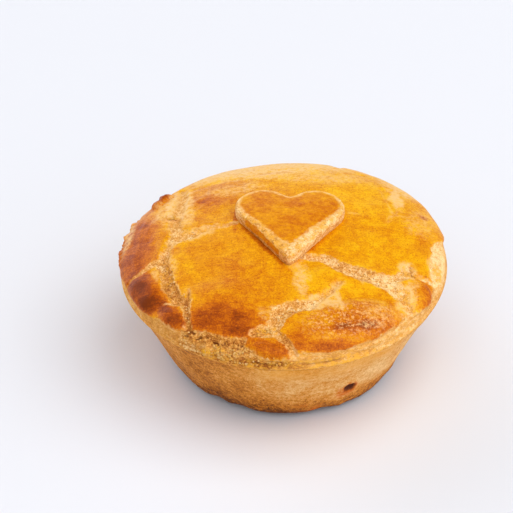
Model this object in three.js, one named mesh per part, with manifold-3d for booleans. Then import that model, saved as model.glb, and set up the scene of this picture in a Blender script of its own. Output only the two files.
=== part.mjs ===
// A round pie for one: a tapered shortcrust case, a domed and glazed lid whose crust has split
// into plates, and a heart cut from the same dough that lies on the lid.
// Millimetres, +Z up. The origin is the middle of the flat base, and the front of the pie is -Y.

import Module from 'manifold-3d';
import * as THREE from 'three';
import { mergeVertices } from 'three/addons/utils/BufferGeometryUtils.js';

const { clamp, degToRad, lerp, smoothstep } = THREE.MathUtils;

// ---------------------------------------------------------------- driving dimensions

const BASE_RADIUS = 29.0; // where the straight wall would meet the table
const BASE_CORNER = 8.0; // rounding from the flat base into the wall
const RIM_RADIUS = 42.5; // top of the case
const RIM_HEIGHT = 27.7;
const LID_OVERHANG = 0.9; // how far the lid stands out past the case
const LID_RISE = 11.0; // dome height above the rim
const LID_SQUARENESS = 4.2; // superellipse exponent of the dome's shoulder
const LID_ROUND_SHARE = 0.35; // share of the rise that is a plain round dome
const LID_LEAN = 0.035; // the dome sits higher at the back than at the front
const LID_TUCK = { drop: 0.5, inset: 0.7 }; // the rounded lower edge of the lid
const GAP = 0.3; // clearance between pieces that lie on each other

const HEART = {
  leftLobe: [-5.3, 8.4],
  rightLobe: [7.6, 8.4],
  lobeRadius: 7.4,
  tip: [1.1, -14.3],
  middle: [1.1, 3.0],
  thickness: 2.7,
};

// Hand-raised pastry is never quite round: [lobes, share of the radius, azimuth of the bulge].
const RIM_LOBES = [[1, 0.012, 33], [2, 0.025, 56], [3, 0.012, 52]];
const BASE_LOBES = [[2, 0.010, -26]];

// Marks on the lid are given on the crust rolled out flat: x to the right, y to the back, with
// the middle of the lid at zero and the distance from it measured along the dome.
// Splits in the glazed crust: depth, then the route as [x, y, width].
const SPLITS = [
  { depth: 0.9, route: [[-30, 22, 3], [-29, 14, 4.5], [-29.5, 1, 6], [-31.5, -7, 3.5]] },
  { depth: 0.9, route: [[-31.5, -7, 3.5], [-30, -15, 4], [-28, -23, 3.2], [-24.5, -30, 2], [-24, -36, 1.8]] },
  { depth: 0.7, route: [[-28, -1, 5], [-22, 1.5, 3.4], [-18, 3.8, 2.2], [-13, 4.2, 1.5]] },
  { depth: 0.5, route: [[-33, -10, 2], [-37, -12.2, 1.4], [-43, -16.5, 1.2]] },
  { depth: 0.9, route: [[-8.5, -38, 3.5], [-5.5, -34.5, 4.5], [-1.5, -31.2, 4.2], [5, -28.3, 3.6]] },
  { depth: 0.6, route: [[5, -28.3, 3.6], [9.5, -26, 4.4], [12.5, -22, 3], [15, -17.5, 1.8]] },
  { depth: 0.8, route: [[-4, -33.5, 3], [-1.5, -38.5, 2.2], [1.5, -43.5, 2.4]] },
  { depth: 0.9, route: [[4.5, -10.3, 2], [12, -11, 3.2], [19, -15.3, 4.2], [27, -18.3, 5], [30.5, -21, 4]] },
  { depth: 0.7, route: [[30.5, -21, 4], [32.8, -27, 2.6], [34.5, -31.5, 3]] },
  { depth: 0.7, route: [[28, -16, 3.4], [33, -13, 3.6], [41, -12, 5]] },
  { depth: 0.5, route: [[26, 24, 4], [28, 17, 3], [28.5, 12, 1.5]] },
  { depth: 0.4, route: [[2, 33, 1.8], [-12, 28, 1.8], [-26, 25, 2.5]] },
  { depth: 0.7, route: [[16, 43, 3], [14, 37, 2.4], [20, 31, 1.6]] },
];

// The bare edge of the lid below the glaze: [azimuth, width along the dome].
const BARE_RIM = [
  [0, 8.6], [12, 4], [25, 1.5], [90, 1.5], [150, 1], [180, 0.6], [200, 1.5], [212, 3.6], [237, 4.6],
  [245, 7], [258, 8.5], [265, 7.5], [272, 4.5], [318, 4.4], [335, 3], [342, 7], [360, 8.6],
];
const BARE_STEP = 0.45; // the bare edge lies this much below the glazed crust
const CRUMBLE = { from: 228, to: 274, depth: 1.1, grain: 2.3 }; // the open, pitted stretch of the seam

// Places where the crust has swollen: middle, half length, half width, turn, height.
const SWELLS = [
  { at: [17, -32], half: [14, 6.5], turn: 14, height: 1.1 },
  { at: [-36.5, -19.5], half: [7, 4.5], turn: -62, height: 0.8 },
  { at: [-28.8, -31], half: [5, 2.8], turn: -52, height: 0.6 },
  { at: [-3.6, -42.3], half: [5, 2], turn: -18, height: 0.7 },
  { at: [-15, -27], half: [12, 9], turn: 0, height: 0.45 },
  { at: [37, -19.5], half: [5.5, 3.2], turn: -60, height: 0.5 },
  { at: [10.8, -17.5], half: [4.5, 3.4], turn: -60, height: 0.35 },
];

// Browned lumps and flakes of dough that stand on the crust: [x, y, radius, height].
const LUMPS = [
  [-33.5, 24, 2.2, 2.1], [-35.5, 19.2, 2.0, 1.9], [-34.6, 21.6, 1.7, 1.3],
  [-42.5, 16, 1.4, 0.9], [-44.5, 6, 1.6, 1.0], [-45.2, 0, 1.5, 0.9], [-30, 9.8, 1.6, 0.8],
  [-20, -41, 1.8, 0.9], [-16.5, -42.6, 1.6, 0.8],
];

// The burst and scorched spot on the wall.
const LEAK = { azimuth: 299.5, height: 11.3, size: [1.7, 1.1], turn: 24 };
// Lifted bits of the base's edge: [azimuth, half width in degrees, lift].
const BASE_NICKS = [[234, 9, 0.8], [249, 10, 0.9], [291, 8, 0.7], [331, 11, 0.5], [30, 12, 0.7], [118, 12, 0.8]];
const WAVER = { lid: 0.16, wall: 0.3 }; // slow unevenness of hand-rolled dough

const MESH = { lidRings: 36, caseSides: 144, cornerRings: 5, wallRings: 8, heartSides: 60 };

// ---------------------------------------------------------------- shared shape helpers

const lobed = (azimuth, lobes) => lobes.reduce(
  (sum, [count, share, toward]) => sum + share * Math.cos(count * (azimuth - degToRad(toward))),
  1,
);

function latticeValue(column, row) {
  let hash = Math.imul(column, 374761393) + Math.imul(row, 668265263);
  hash = Math.imul(hash ^ (hash >>> 13), 1274126177);
  return ((hash ^ (hash >>> 16)) >>> 0) / 2147483648 - 1;
}

// Smooth unevenness between -1 and 1, with bumps about one cell wide.
function unevenness(x, y, cell) {
  const column = Math.floor(x / cell);
  const row = Math.floor(y / cell);
  const across = smoothstep(x / cell - column, 0, 1);
  const along = smoothstep(y / cell - row, 0, 1);
  const near = lerp(latticeValue(column, row), latticeValue(column + 1, row), across);
  const far = lerp(latticeValue(column, row + 1), latticeValue(column + 1, row + 1), across);
  return lerp(near, far, along);
}

// The value at a place along a list of [place, value] that is in rising order.
function along(list, place) {
  const next = list.findIndex(([mark]) => mark > place);
  if (next < 1) return next < 0 ? list.at(-1)[1] : list[0][1];
  const [fromPlace, fromValue] = list[next - 1];
  const [toPlace, toValue] = list[next];
  return lerp(fromValue, toValue, (place - fromPlace) / (toPlace - fromPlace));
}

function meshGeometry(points, faces) {
  const geometry = new THREE.BufferGeometry();
  geometry.setAttribute('position', new THREE.Float32BufferAttribute(points.flatMap((p) => p.toArray()), 3));
  geometry.setIndex(faces.flat());
  geometry.computeVertexNormals();
  return geometry;
}

// A closed body from rings of equal count, bottom to top, with a point that closes each end.
function ringedBody(bottom, rings, top) {
  const count = rings[0].length;
  const points = [bottom, ...rings.flat(), top];
  const at = (ring, side) => 1 + ring * count + (side % count);
  const faces = [];
  for (let side = 0; side < count; side += 1) {
    faces.push([0, at(0, side + 1), at(0, side)]);
    faces.push([points.length - 1, at(rings.length - 1, side), at(rings.length - 1, side + 1)]);
    for (let ring = 0; ring + 1 < rings.length; ring += 1) {
      faces.push([at(ring, side), at(ring, side + 1), at(ring + 1, side + 1)]);
      faces.push([at(ring, side), at(ring + 1, side + 1), at(ring + 1, side)]);
    }
  }
  return meshGeometry(points, faces);
}

// ---------------------------------------------------------------- pastry case

const wallSlope = Math.atan2(RIM_RADIUS - BASE_RADIUS, RIM_HEIGHT);
const cornerInset = BASE_CORNER * (1 - Math.sin(wallSlope)) / Math.cos(wallSlope);
const cornerTop = BASE_CORNER * (1 - Math.sin(wallSlope));
const caseTop = RIM_HEIGHT - LID_TUCK.drop - GAP;

// Distance from the axis to the wall, as for a mould that is oval at the top and at the base.
function wallRadius(height, azimuth) {
  const base = BASE_RADIUS * lobed(azimuth, BASE_LOBES);
  const rim = RIM_RADIUS * lobed(azimuth, RIM_LOBES);
  const straight = lerp(base, rim, height / RIM_HEIGHT);
  if (height >= cornerTop) return straight;
  const below = BASE_CORNER - height;
  const corner = BASE_RADIUS - cornerInset + Math.sqrt(BASE_CORNER ** 2 - below ** 2);
  return straight - lerp(BASE_RADIUS, RIM_RADIUS, height / RIM_HEIGHT) + corner;
}

// Where the edge of the base has stuck to the mould and torn, it is lifted a little.
function nickLift(azimuthDeg) {
  return BASE_NICKS.reduce((lift, [middle, halfWidth, height]) => {
    const away = Math.abs(((azimuthDeg - middle + 540) % 360) - 180);
    return Math.max(lift, height * (1 - smoothstep(away, 0, halfWidth)));
  }, 0);
}

function casePoint(height, azimuth) {
  const azimuthDeg = (azimuth * 180) / Math.PI;
  const lowEdge = 1 - smoothstep(height, 1.5, cornerTop + 3);
  const raised = height > 0 ? nickLift(azimuthDeg) * lowEdge : 0;
  const wavering = WAVER.wall * unevenness(azimuthDeg, height * 1.5, 12) * smoothstep(height, 0, 3);
  const radius = wallRadius(height, azimuth) + wavering - 0.6 * raised;
  return new THREE.Vector3(radius * Math.cos(azimuth), radius * Math.sin(azimuth), height + raised);
}

// Heights of the case's rings: closely spaced round the corner, then evenly up the wall.
function caseHeights() {
  const heights = [0];
  const turnEnd = Math.PI / 2 - wallSlope;
  for (let step = 1; step <= MESH.cornerRings; step += 1) {
    heights.push(BASE_CORNER * (1 - Math.cos((turnEnd * step) / MESH.cornerRings)));
  }
  for (let step = 1; step <= MESH.wallRings; step += 1) {
    heights.push(lerp(cornerTop, caseTop, step / MESH.wallRings));
  }
  return heights;
}

async function pastryCase() {
  const sides = Array.from({ length: MESH.caseSides }, (_, side) => (2 * Math.PI * side) / MESH.caseSides);
  const rings = caseHeights().map((height) => sides.map((azimuth) => casePoint(height, azimuth)));
  const blank = ringedBody(new THREE.Vector3(0, 0, 0), rings, new THREE.Vector3(0, 0, caseTop));
  return carved(blank, leakPit());
}

// The burst in the wall where filling has leaked: a shallow oval pit across the wall's face.
function leakPit() {
  const azimuth = degToRad(LEAK.azimuth);
  const [halfLength, halfHeight] = LEAK.size;
  const pit = new THREE.IcosahedronGeometry(1, 2);
  pit.scale(halfLength, 1.0, halfHeight);
  pit.rotateY(-degToRad(LEAK.turn));
  pit.rotateX(-wallSlope);
  pit.rotateZ(azimuth + Math.PI / 2);
  return pit.translate(...casePoint(LEAK.height, azimuth).toArray());
}

// ---------------------------------------------------------------- lid

class DomeProfile extends THREE.Curve {
  // From the top of the dome, outwards and down to the rim: x is the share of the lid's radius.
  getPoint(share, target = new THREE.Vector2()) {
    const turn = (1 - share) * (Math.PI / 2);
    const reach = Math.cos(turn) ** (2 / LID_SQUARENESS);
    const shoulder = Math.sin(turn) ** (2 / LID_SQUARENESS);
    const rise = (1 - LID_ROUND_SHARE) * shoulder + LID_ROUND_SHARE * (1 - reach ** 2);
    return target.set(reach * (RIM_RADIUS + LID_OVERHANG), RIM_HEIGHT + LID_RISE * rise);
  }
}

const dome = new DomeProfile();
dome.arcLengthDivisions = 2000;
const LID_SPAN = dome.getLength(); // from the middle to the rim, along the crust

const lidEdge = (azimuth) => RIM_RADIUS * lobed(azimuth, RIM_LOBES) + LID_OVERHANG;

// The smooth dome at a place on the rolled-out crust.
function domePoint(x, y) {
  const azimuth = Math.atan2(y, x);
  const { x: reach, y: height } = dome.getPointAt(clamp(Math.hypot(x, y) / LID_SPAN, 0, 1));
  const share = reach / (RIM_RADIUS + LID_OVERHANG);
  const radius = lidEdge(azimuth) * share;
  const back = radius * Math.sin(azimuth);
  return new THREE.Vector3(radius * Math.cos(azimuth), back, height + LID_LEAN * back * (1 - share ** 4));
}

function domeNormal(x, y) {
  const step = 0.25;
  const shrink = Math.min(1, (LID_SPAN - 2 * step) / Math.max(Math.hypot(x, y), step));
  const [u, v] = [x * shrink, y * shrink];
  const right = domePoint(u + step, v).sub(domePoint(u - step, v));
  const back = domePoint(u, v + step).sub(domePoint(u, v - step));
  return right.cross(back).normalize();
}

// How deep a split is at a place: full depth along its middle, none at its edges.
function splitDepth(x, y, { depth, route }) {
  let deepest = 0;
  for (let leg = 0; leg + 1 < route.length; leg += 1) {
    const [x0, y0, width0] = route[leg];
    const [x1, y1, width1] = route[leg + 1];
    const [dx, dy] = [x1 - x0, y1 - y0];
    const share = clamp(((x - x0) * dx + (y - y0) * dy) / (dx * dx + dy * dy), 0, 1);
    const away = Math.hypot(x - x0 - dx * share, y - y0 - dy * share);
    const half = lerp(width0, width1, share) / 2;
    deepest = Math.max(deepest, depth * (1 - smoothstep(away, 0.35 * half, 1.25 * half)));
  }
  return deepest;
}

function swellHeight(x, y, { at, half, turn, height }) {
  const [cos, sin] = [Math.cos(degToRad(turn)), Math.sin(degToRad(turn))];
  const [dx, dy] = [x - at[0], y - at[1]];
  const lengthwise = (dx * cos + dy * sin) / half[0];
  const crosswise = (dy * cos - dx * sin) / half[1];
  return height * (1 - smoothstep(Math.hypot(lengthwise, crosswise), 0.45, 1.15));
}

// The bare edge below the glaze, and the stretch of it that has crumbled open.
function rimDepth(x, y) {
  const azimuthDeg = ((Math.atan2(y, x) * 180) / Math.PI + 360) % 360;
  const inFromSeam = LID_SPAN - Math.hypot(x, y);
  const bare = along(BARE_RIM, azimuthDeg);
  const onBare = 1 - smoothstep(inFromSeam, 0.8 * bare, bare + 0.6);
  const { from, to, depth, grain } = CRUMBLE;
  const open = smoothstep(azimuthDeg, from, from + 8) * (1 - smoothstep(azimuthDeg, to - 8, to));
  const pits = Math.max(0, 0.35 + unevenness(x, y, grain)) * smoothstep(inFromSeam, 1.2, 3);
  return onBare * (BARE_STEP + depth * open * pits);
}

function lidRelief(x, y) {
  const fromHeart = Math.hypot(x - HEART.middle[0], y - HEART.middle[1]);
  const clearOfHeart = smoothstep(fromHeart, 15, 21);
  const split = SPLITS.reduce((deepest, each) => Math.max(deepest, splitDepth(x, y, each)), 0);
  const swell = SWELLS.reduce((sum, each) => sum + swellHeight(x, y, each), 0);
  const lump = LUMPS.reduce((highest, [lumpX, lumpY, radius, height]) => {
    const away = Math.hypot(x - lumpX, y - lumpY) / radius;
    return Math.max(highest, height * Math.sqrt(Math.max(0, 1 - away ** 2)));
  }, 0);
  const wavering = WAVER.lid * (unevenness(x, y, 9) + 0.6 * unevenness(x + 40, y, 4.5));
  const edge = smoothstep(LID_SPAN - Math.hypot(x, y), 0, 1.5);
  const sunk = Math.max(split, rimDepth(x, y));
  return lerp(0.3, 1, edge) * (clearOfHeart * (swell + wavering) - sunk) + lump;
}

function lidPoint(x, y) {
  return domePoint(x, y).addScaledVector(domeNormal(x, y), lidRelief(x, y));
}

// Ring k of the lid has 6k evenly spaced points, so that its triangles are all about alike.
function pastryLid() {
  const rings = MESH.lidRings;
  const points = [lidPoint(0, 0)];
  const first = (ring) => (ring === 0 ? 0 : 1 + 3 * ring * (ring - 1));
  const at = (ring, side) => first(ring) + (ring === 0 ? 0 : side % (6 * ring));
  const faces = [];
  for (let ring = 1; ring <= rings; ring += 1) {
    for (let side = 0; side < 6 * ring; side += 1) {
      const azimuth = (2 * Math.PI * side) / (6 * ring);
      const reach = (LID_SPAN * ring) / rings;
      points.push(lidPoint(reach * Math.cos(azimuth), reach * Math.sin(azimuth)));
    }
    for (let sector = 0; sector < 6; sector += 1) {
      for (let step = 0; step < ring; step += 1) {
        const outer = sector * ring + step;
        const inner = sector * (ring - 1) + step;
        faces.push([at(ring, outer), at(ring, outer + 1), at(ring - 1, inner)]);
        if (step + 1 < ring) faces.push([at(ring - 1, inner), at(ring, outer + 1), at(ring - 1, inner + 1)]);
      }
    }
  }
  const edgeCount = 6 * rings;
  const tuck = points.length;
  const middle = tuck + edgeCount;
  const seat = RIM_HEIGHT - LID_TUCK.drop;
  for (let side = 0; side < edgeCount; side += 1) {
    const azimuth = (2 * Math.PI * side) / edgeCount;
    const radius = lidEdge(azimuth) - LID_TUCK.inset;
    points.push(new THREE.Vector3(radius * Math.cos(azimuth), radius * Math.sin(azimuth), seat));
    const next = (side + 1) % edgeCount;
    faces.push([at(rings, side), tuck + side, tuck + next]);
    faces.push([at(rings, side), tuck + next, at(rings, side + 1)]);
    faces.push([middle, tuck + next, tuck + side]);
  }
  points.push(new THREE.Vector3(0, 0, seat));
  return meshGeometry(points, faces);
}

// ---------------------------------------------------------------- heart

// Two round lobes and straight sides that run from them to the tip, as a cutter stamps them.
function heartOutline() {
  const { leftLobe, rightLobe, lobeRadius, tip } = HEART;
  const sideTurn = (lobe, sign) => {
    const toTip = Math.atan2(tip[1] - lobe[1], tip[0] - lobe[0]);
    const reach = Math.hypot(tip[0] - lobe[0], tip[1] - lobe[1]);
    return toTip + sign * Math.acos(lobeRadius / reach);
  };
  const notchTurn = Math.acos((rightLobe[0] - leftLobe[0]) / 2 / lobeRadius);
  const rightTurn = sideTurn(rightLobe, 1);
  const shape = new THREE.Shape();
  shape.moveTo(...tip);
  shape.lineTo(rightLobe[0] + lobeRadius * Math.cos(rightTurn), rightLobe[1] + lobeRadius * Math.sin(rightTurn));
  shape.absarc(...rightLobe, lobeRadius, rightTurn, Math.PI - notchTurn, false);
  shape.absarc(...leftLobe, lobeRadius, notchTurn, sideTurn(leftLobe, -1), false);
  shape.closePath();
  let outline = shape.getSpacedPoints(MESH.heartSides).slice(0, MESH.heartSides);
  for (let pass = 0; pass < 2; pass += 1) outline = softened(outline);
  return outline;
}

// Dough rounds off in the oven: each point moves half way to the middle of its neighbours.
function softened(outline) {
  const count = outline.length;
  return outline.map((point, side) => {
    const between = outline[(side + 1) % count].clone().add(outline[(side + count - 1) % count]).multiplyScalar(0.5);
    return point.clone().lerp(between, 0.5);
  });
}

// The heart lies on the dome: each level is [share of the outline, inset, height over the lid].
function pastryHeart() {
  const outline = heartOutline();
  const middle = new THREE.Vector2(...HEART.middle);
  const top = HEART.thickness + GAP;
  const levels = [
    [0.5, 0, GAP], [1, 0.3, GAP], [1, 0, GAP + 0.5], [1, 0.1, lerp(GAP, top, 0.6)],
    [1, 0.35, top - 0.35], [1, 0.9, top], [0.6, 0, top + 0.2],
  ];
  const onLid = (point, height) => {
    const { z } = domePoint(point.x, point.y);
    return new THREE.Vector3(point.x, point.y, z + height);
  };
  const rings = levels.map(([share, inset, height]) => outline.map((point) => {
    const inward = middle.clone().sub(point);
    const moved = point.clone().addScaledVector(inward, 1 - share + inset / inward.length());
    return onLid(moved, height);
  }));
  return ringedBody(onLid(middle, GAP), rings, onLid(middle, top + 0.25));
}

// ---------------------------------------------------------------- cutting, materials and the pie

// The body with the tool cut out of it.
async function carved(body, tool) {
  const wasm = await Module();
  wasm.setup();
  const solid = (geometry) => {
    const bare = geometry.clone();
    bare.deleteAttribute('normal');
    bare.deleteAttribute('uv');
    const welded = mergeVertices(bare);
    const vertProperties = Float32Array.from(welded.attributes.position.array);
    const triVerts = Uint32Array.from(welded.index.array);
    return new wasm.Manifold(new wasm.Mesh({ numProp: 3, vertProperties, triVerts }));
  };
  const { vertProperties, triVerts } = solid(body).subtract(solid(tool)).getMesh();
  const geometry = new THREE.BufferGeometry();
  geometry.setAttribute('position', new THREE.BufferAttribute(vertProperties, 3));
  geometry.setIndex(new THREE.BufferAttribute(triVerts, 1));
  geometry.computeVertexNormals();
  return geometry;
}

function namedMesh(name, geometry, color, roughness) {
  const mesh = new THREE.Mesh(geometry, new THREE.MeshStandardMaterial({ color, roughness, metalness: 0 }));
  mesh.name = name;
  return mesh;
}

const chickenPie = new THREE.Group();
chickenPie.add(
  namedMesh('pastry_case', await pastryCase(), '#c99a55', 0.75),
  namedMesh('pastry_lid', pastryLid(), '#d98f1e', 0.4),
  namedMesh('pastry_heart', pastryHeart(), '#d98a1a', 0.45),
);

export default chickenPie;
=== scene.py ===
"""A round chicken pie for one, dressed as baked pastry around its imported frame.

The pie is three pieces of shortcrust: a tapered case, a domed lid whose egg glaze has split into
plates, and a heart cut from the same dough. Sizes are millimetres until a mesh is made, and every
mesh is in metres, +Z up, with the front of the pie at -Y. Azimuths run from +X by way of the back,
so that the front is at 270 degrees.
"""

import logging
import math
from dataclasses import dataclass, field, replace
from enum import Enum
from functools import cached_property

import bpy
import numpy as np
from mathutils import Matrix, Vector


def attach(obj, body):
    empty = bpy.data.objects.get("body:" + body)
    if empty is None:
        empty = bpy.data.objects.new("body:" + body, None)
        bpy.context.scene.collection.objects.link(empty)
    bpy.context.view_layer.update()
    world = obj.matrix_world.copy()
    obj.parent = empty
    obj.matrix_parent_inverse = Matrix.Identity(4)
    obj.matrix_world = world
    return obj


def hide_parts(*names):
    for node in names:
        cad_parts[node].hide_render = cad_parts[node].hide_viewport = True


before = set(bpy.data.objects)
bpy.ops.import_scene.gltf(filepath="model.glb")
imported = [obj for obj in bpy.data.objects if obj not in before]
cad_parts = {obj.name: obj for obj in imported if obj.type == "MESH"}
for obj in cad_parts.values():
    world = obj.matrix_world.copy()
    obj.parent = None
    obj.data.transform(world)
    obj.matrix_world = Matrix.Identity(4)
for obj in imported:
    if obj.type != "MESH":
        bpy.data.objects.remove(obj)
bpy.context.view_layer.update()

MM = 0.001
BODY = "root"
LOG = logging.getLogger("pie")

Triple = tuple[float, float, float]
Colour = Triple
Scale = tuple[tuple[float, Colour], ...]
Array = np.ndarray
Socket = bpy.types.NodeSocket
# Bulges round the axis: how many, their share of the radius and the azimuth of one of them.
Lobes = tuple[tuple[int, float, float], ...]
# A stretch of the wall: its middle, and how far from there it fades and is gone, in degrees.
Stretch = tuple[float, float, float]


class Slot(Enum):
    """The record's material slots."""

    BAKED = "baked_pastry"
    GLAZED = "glazed_pastry"


# ---- numbers shared by all pieces


def srgb(red: int, green: int, blue: int) -> Colour:
    """Turns a screen colour, 0 to 255 each, into the linear values that the shader wants."""
    return tuple(((part / 255 + 0.055) / 1.055) ** 2.4 if part > 10 else part / 255 / 12.92
                 for part in (red, green, blue))


def rising(value: Array, low: float, high: float) -> Array:
    """Eases from 0 at low to 1 at high."""
    share = np.clip((value - low) / (high - low), 0.0, 1.0)
    return share * share * (3.0 - 2.0 * share)


def falling(value: Array, low: float, high: float) -> Array:
    """Eases from 1 at low to 0 at high."""
    return 1 - rising(value, low, high)


def close_to(value: Array, middle: float, core: float, end: float) -> Array:
    """Returns 1 up to the core's distance from the middle, eased to 0 at the end."""
    return falling(np.abs(value - middle), core, end)


def between(value: Array, first: float, last: float, ease: float) -> Array:
    """Returns 1 between first and last and 0 beyond them, eased inside both."""
    return rising(value, first, first + ease) * falling(value, last - ease, last)


def bell(value: Array, middle: float, width: float) -> Array:
    """Returns a smooth hump, 1 at its middle."""
    return np.exp(-(((value - middle) / width) ** 2))


def lattice_value(column: Array, row: Array) -> Array:
    """Gives each cell of a grid its own fixed value.

    Args:
        column: Whole column numbers.
        row: Whole row numbers.

    Returns:
        A value between -1 and 1 for each cell.
    """
    mixed = column.astype(np.int64).astype(np.uint32) * np.uint32(374761393)
    mixed = mixed + row.astype(np.int64).astype(np.uint32) * np.uint32(668265263)
    mixed = (mixed ^ (mixed >> np.uint32(13))) * np.uint32(1274126177)
    return (mixed ^ (mixed >> np.uint32(16))) / 2147483648.0 - 1.0


def unevenness(x: Array, y: Array, cell: float) -> Array:
    """Smooth bumps about one cell wide.

    Args:
        x: First coordinate, in millimetres.
        y: Second coordinate, in millimetres.
        cell: Size of a bump.

    Returns:
        Heights between -1 and 1.
    """
    column, row = np.floor(x / cell), np.floor(y / cell)
    across, along = rising(x / cell - column, 0, 1), rising(y / cell - row, 0, 1)
    near, far = (lattice_value(column, line) * (1 - across)
                 + lattice_value(column + 1, line) * across for line in (row, row + 1))
    return near * (1 - along) + far * along


@dataclass(frozen=True)
class Grain:
    """Rough, natural-looking unevenness: bumps with smaller bumps on them.

    The size is the largest bumps'. Each further layer is half as large, and the seed shifts the
    pattern, so that two uses differ.
    """

    strength: float
    size: float
    layers: int = 3
    seed: float = 0.0
    weaker: float = 0.55

    def at(self, x: Array, y: Array) -> Array:
        """Reads the unevenness.

        Args:
            x: First coordinate, in millimetres.
            y: Second coordinate, in millimetres.

        Returns:
            Heights between about minus the strength and the strength.
        """
        total, reach = np.zeros_like(x), 0.0
        for layer in range(self.layers):
            turn, share = 0.7 + 1.9 * layer, self.weaker**layer
            u = x * math.cos(turn) - y * math.sin(turn) + 31.7 * (layer + 1) + self.seed
            v = x * math.sin(turn) + y * math.cos(turn) + 17.3 * (layer + 1) - self.seed
            total, reach = total + share * unevenness(u, v, self.size / 2**layer), reach + share
        return self.strength * (total / reach)


def pebbles(x: Array, y: Array, size: float) -> tuple[Array, Array]:
    """Packed round lumps, as crumb has them.

    Args:
        x: First coordinate, in millimetres.
        y: Second coordinate, in millimetres.
        size: Mean size of a lump.

    Returns:
        How far each place is from its lump's middle, as a share of the size, and the lump's own
        level, from -1 to 1.
    """
    column, row = np.floor(x / size), np.floor(y / size)
    nearest, level = np.full_like(x, 9.0), np.zeros_like(x)
    strewn = 0.45
    for right in (-1, 0, 1):
        for back in (-1, 0, 1):
            u, v = column + right, row + back
            away = np.hypot(x / size - u - 0.5 - strewn * lattice_value(u, v),
                            y / size - v - 0.5 - strewn * lattice_value(u + 57, v + 131))
            level = np.where(away < nearest, lattice_value(u + 211, v - 89), level)
            nearest = np.minimum(nearest, away)
    return nearest, level


@dataclass(frozen=True)
class Lumpiness:
    """Crumb of packed lumps: their size, how far their levels differ, how high each one domes, and
    how far from its middle, as a share of the size, it meets the mean level.
    """

    size: float
    levels: float
    doming: float
    meets: float

    def at(self, x: Array, y: Array) -> Array:
        """Returns the height of the crumb, in millimetres."""
        away, level = pebbles(x, y, self.size)
        return self.levels * level + self.doming * (self.meets - away)


def lobed(azimuth: Array, lobes: Lobes) -> Array:
    """Returns the factor by which a hand-raised round differs from a circle at each azimuth."""
    return 1.0 + sum(share * np.cos(count * (azimuth - math.radians(toward)))
                     for count, share, toward in lobes)


def turns(count: int) -> Array:
    """Returns evenly spaced azimuths once round the axis, in radians."""
    return np.arange(count) * (math.tau / count)


def around(radius: Array, azimuth: Array, height: Array | float) -> Array:
    """Returns points round the axis, their azimuth in radians."""
    x, y = radius * np.cos(azimuth), radius * np.sin(azimuth)
    return np.stack([x, y, np.broadcast_to(height, x.shape)], -1)


# ---- the pie's true form


@dataclass(frozen=True)
class Mould:
    """The tapered form that shaped the case. The sizes are the frame's own."""

    base_radius: float = 29.0
    base_corner: float = 7.2
    rim_radius: float = 42.5
    rim_height: float = 27.7
    rim_lobes: Lobes = ((1, 0.012, 33), (2, 0.025, 56), (3, 0.012, 52))
    base_lobes: Lobes = ((2, 0.010, -26),)

    @property
    def slope(self) -> float:
        """Lean of the wall from upright, in radians."""
        return math.atan2(self.rim_radius - self.base_radius, self.rim_height)

    @property
    def corner_top(self) -> float:
        """Height at which the rounded corner meets the straight wall."""
        return self.base_corner * (1 - math.sin(self.slope))

    def wall_radius(self, height: Array, azimuth: Array) -> Array:
        """Distance from the axis to the wall.

        Args:
            height: Height over the table.
            azimuth: Direction from the axis, in radians.

        Returns:
            The radius, in millimetres.
        """
        share = height / self.rim_height
        base = self.base_radius * lobed(azimuth, self.base_lobes)
        straight = base + (self.rim_radius * lobed(azimuth, self.rim_lobes) - base) * share
        below = np.clip(self.base_corner - height, 0, self.base_corner)
        corner = (self.base_radius - self.corner_top / math.cos(self.slope)
                  + np.sqrt(self.base_corner**2 - below**2))
        mean = self.base_radius + (self.rim_radius - self.base_radius) * share
        return np.where(height < self.corner_top, straight - mean + corner, straight)


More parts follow.
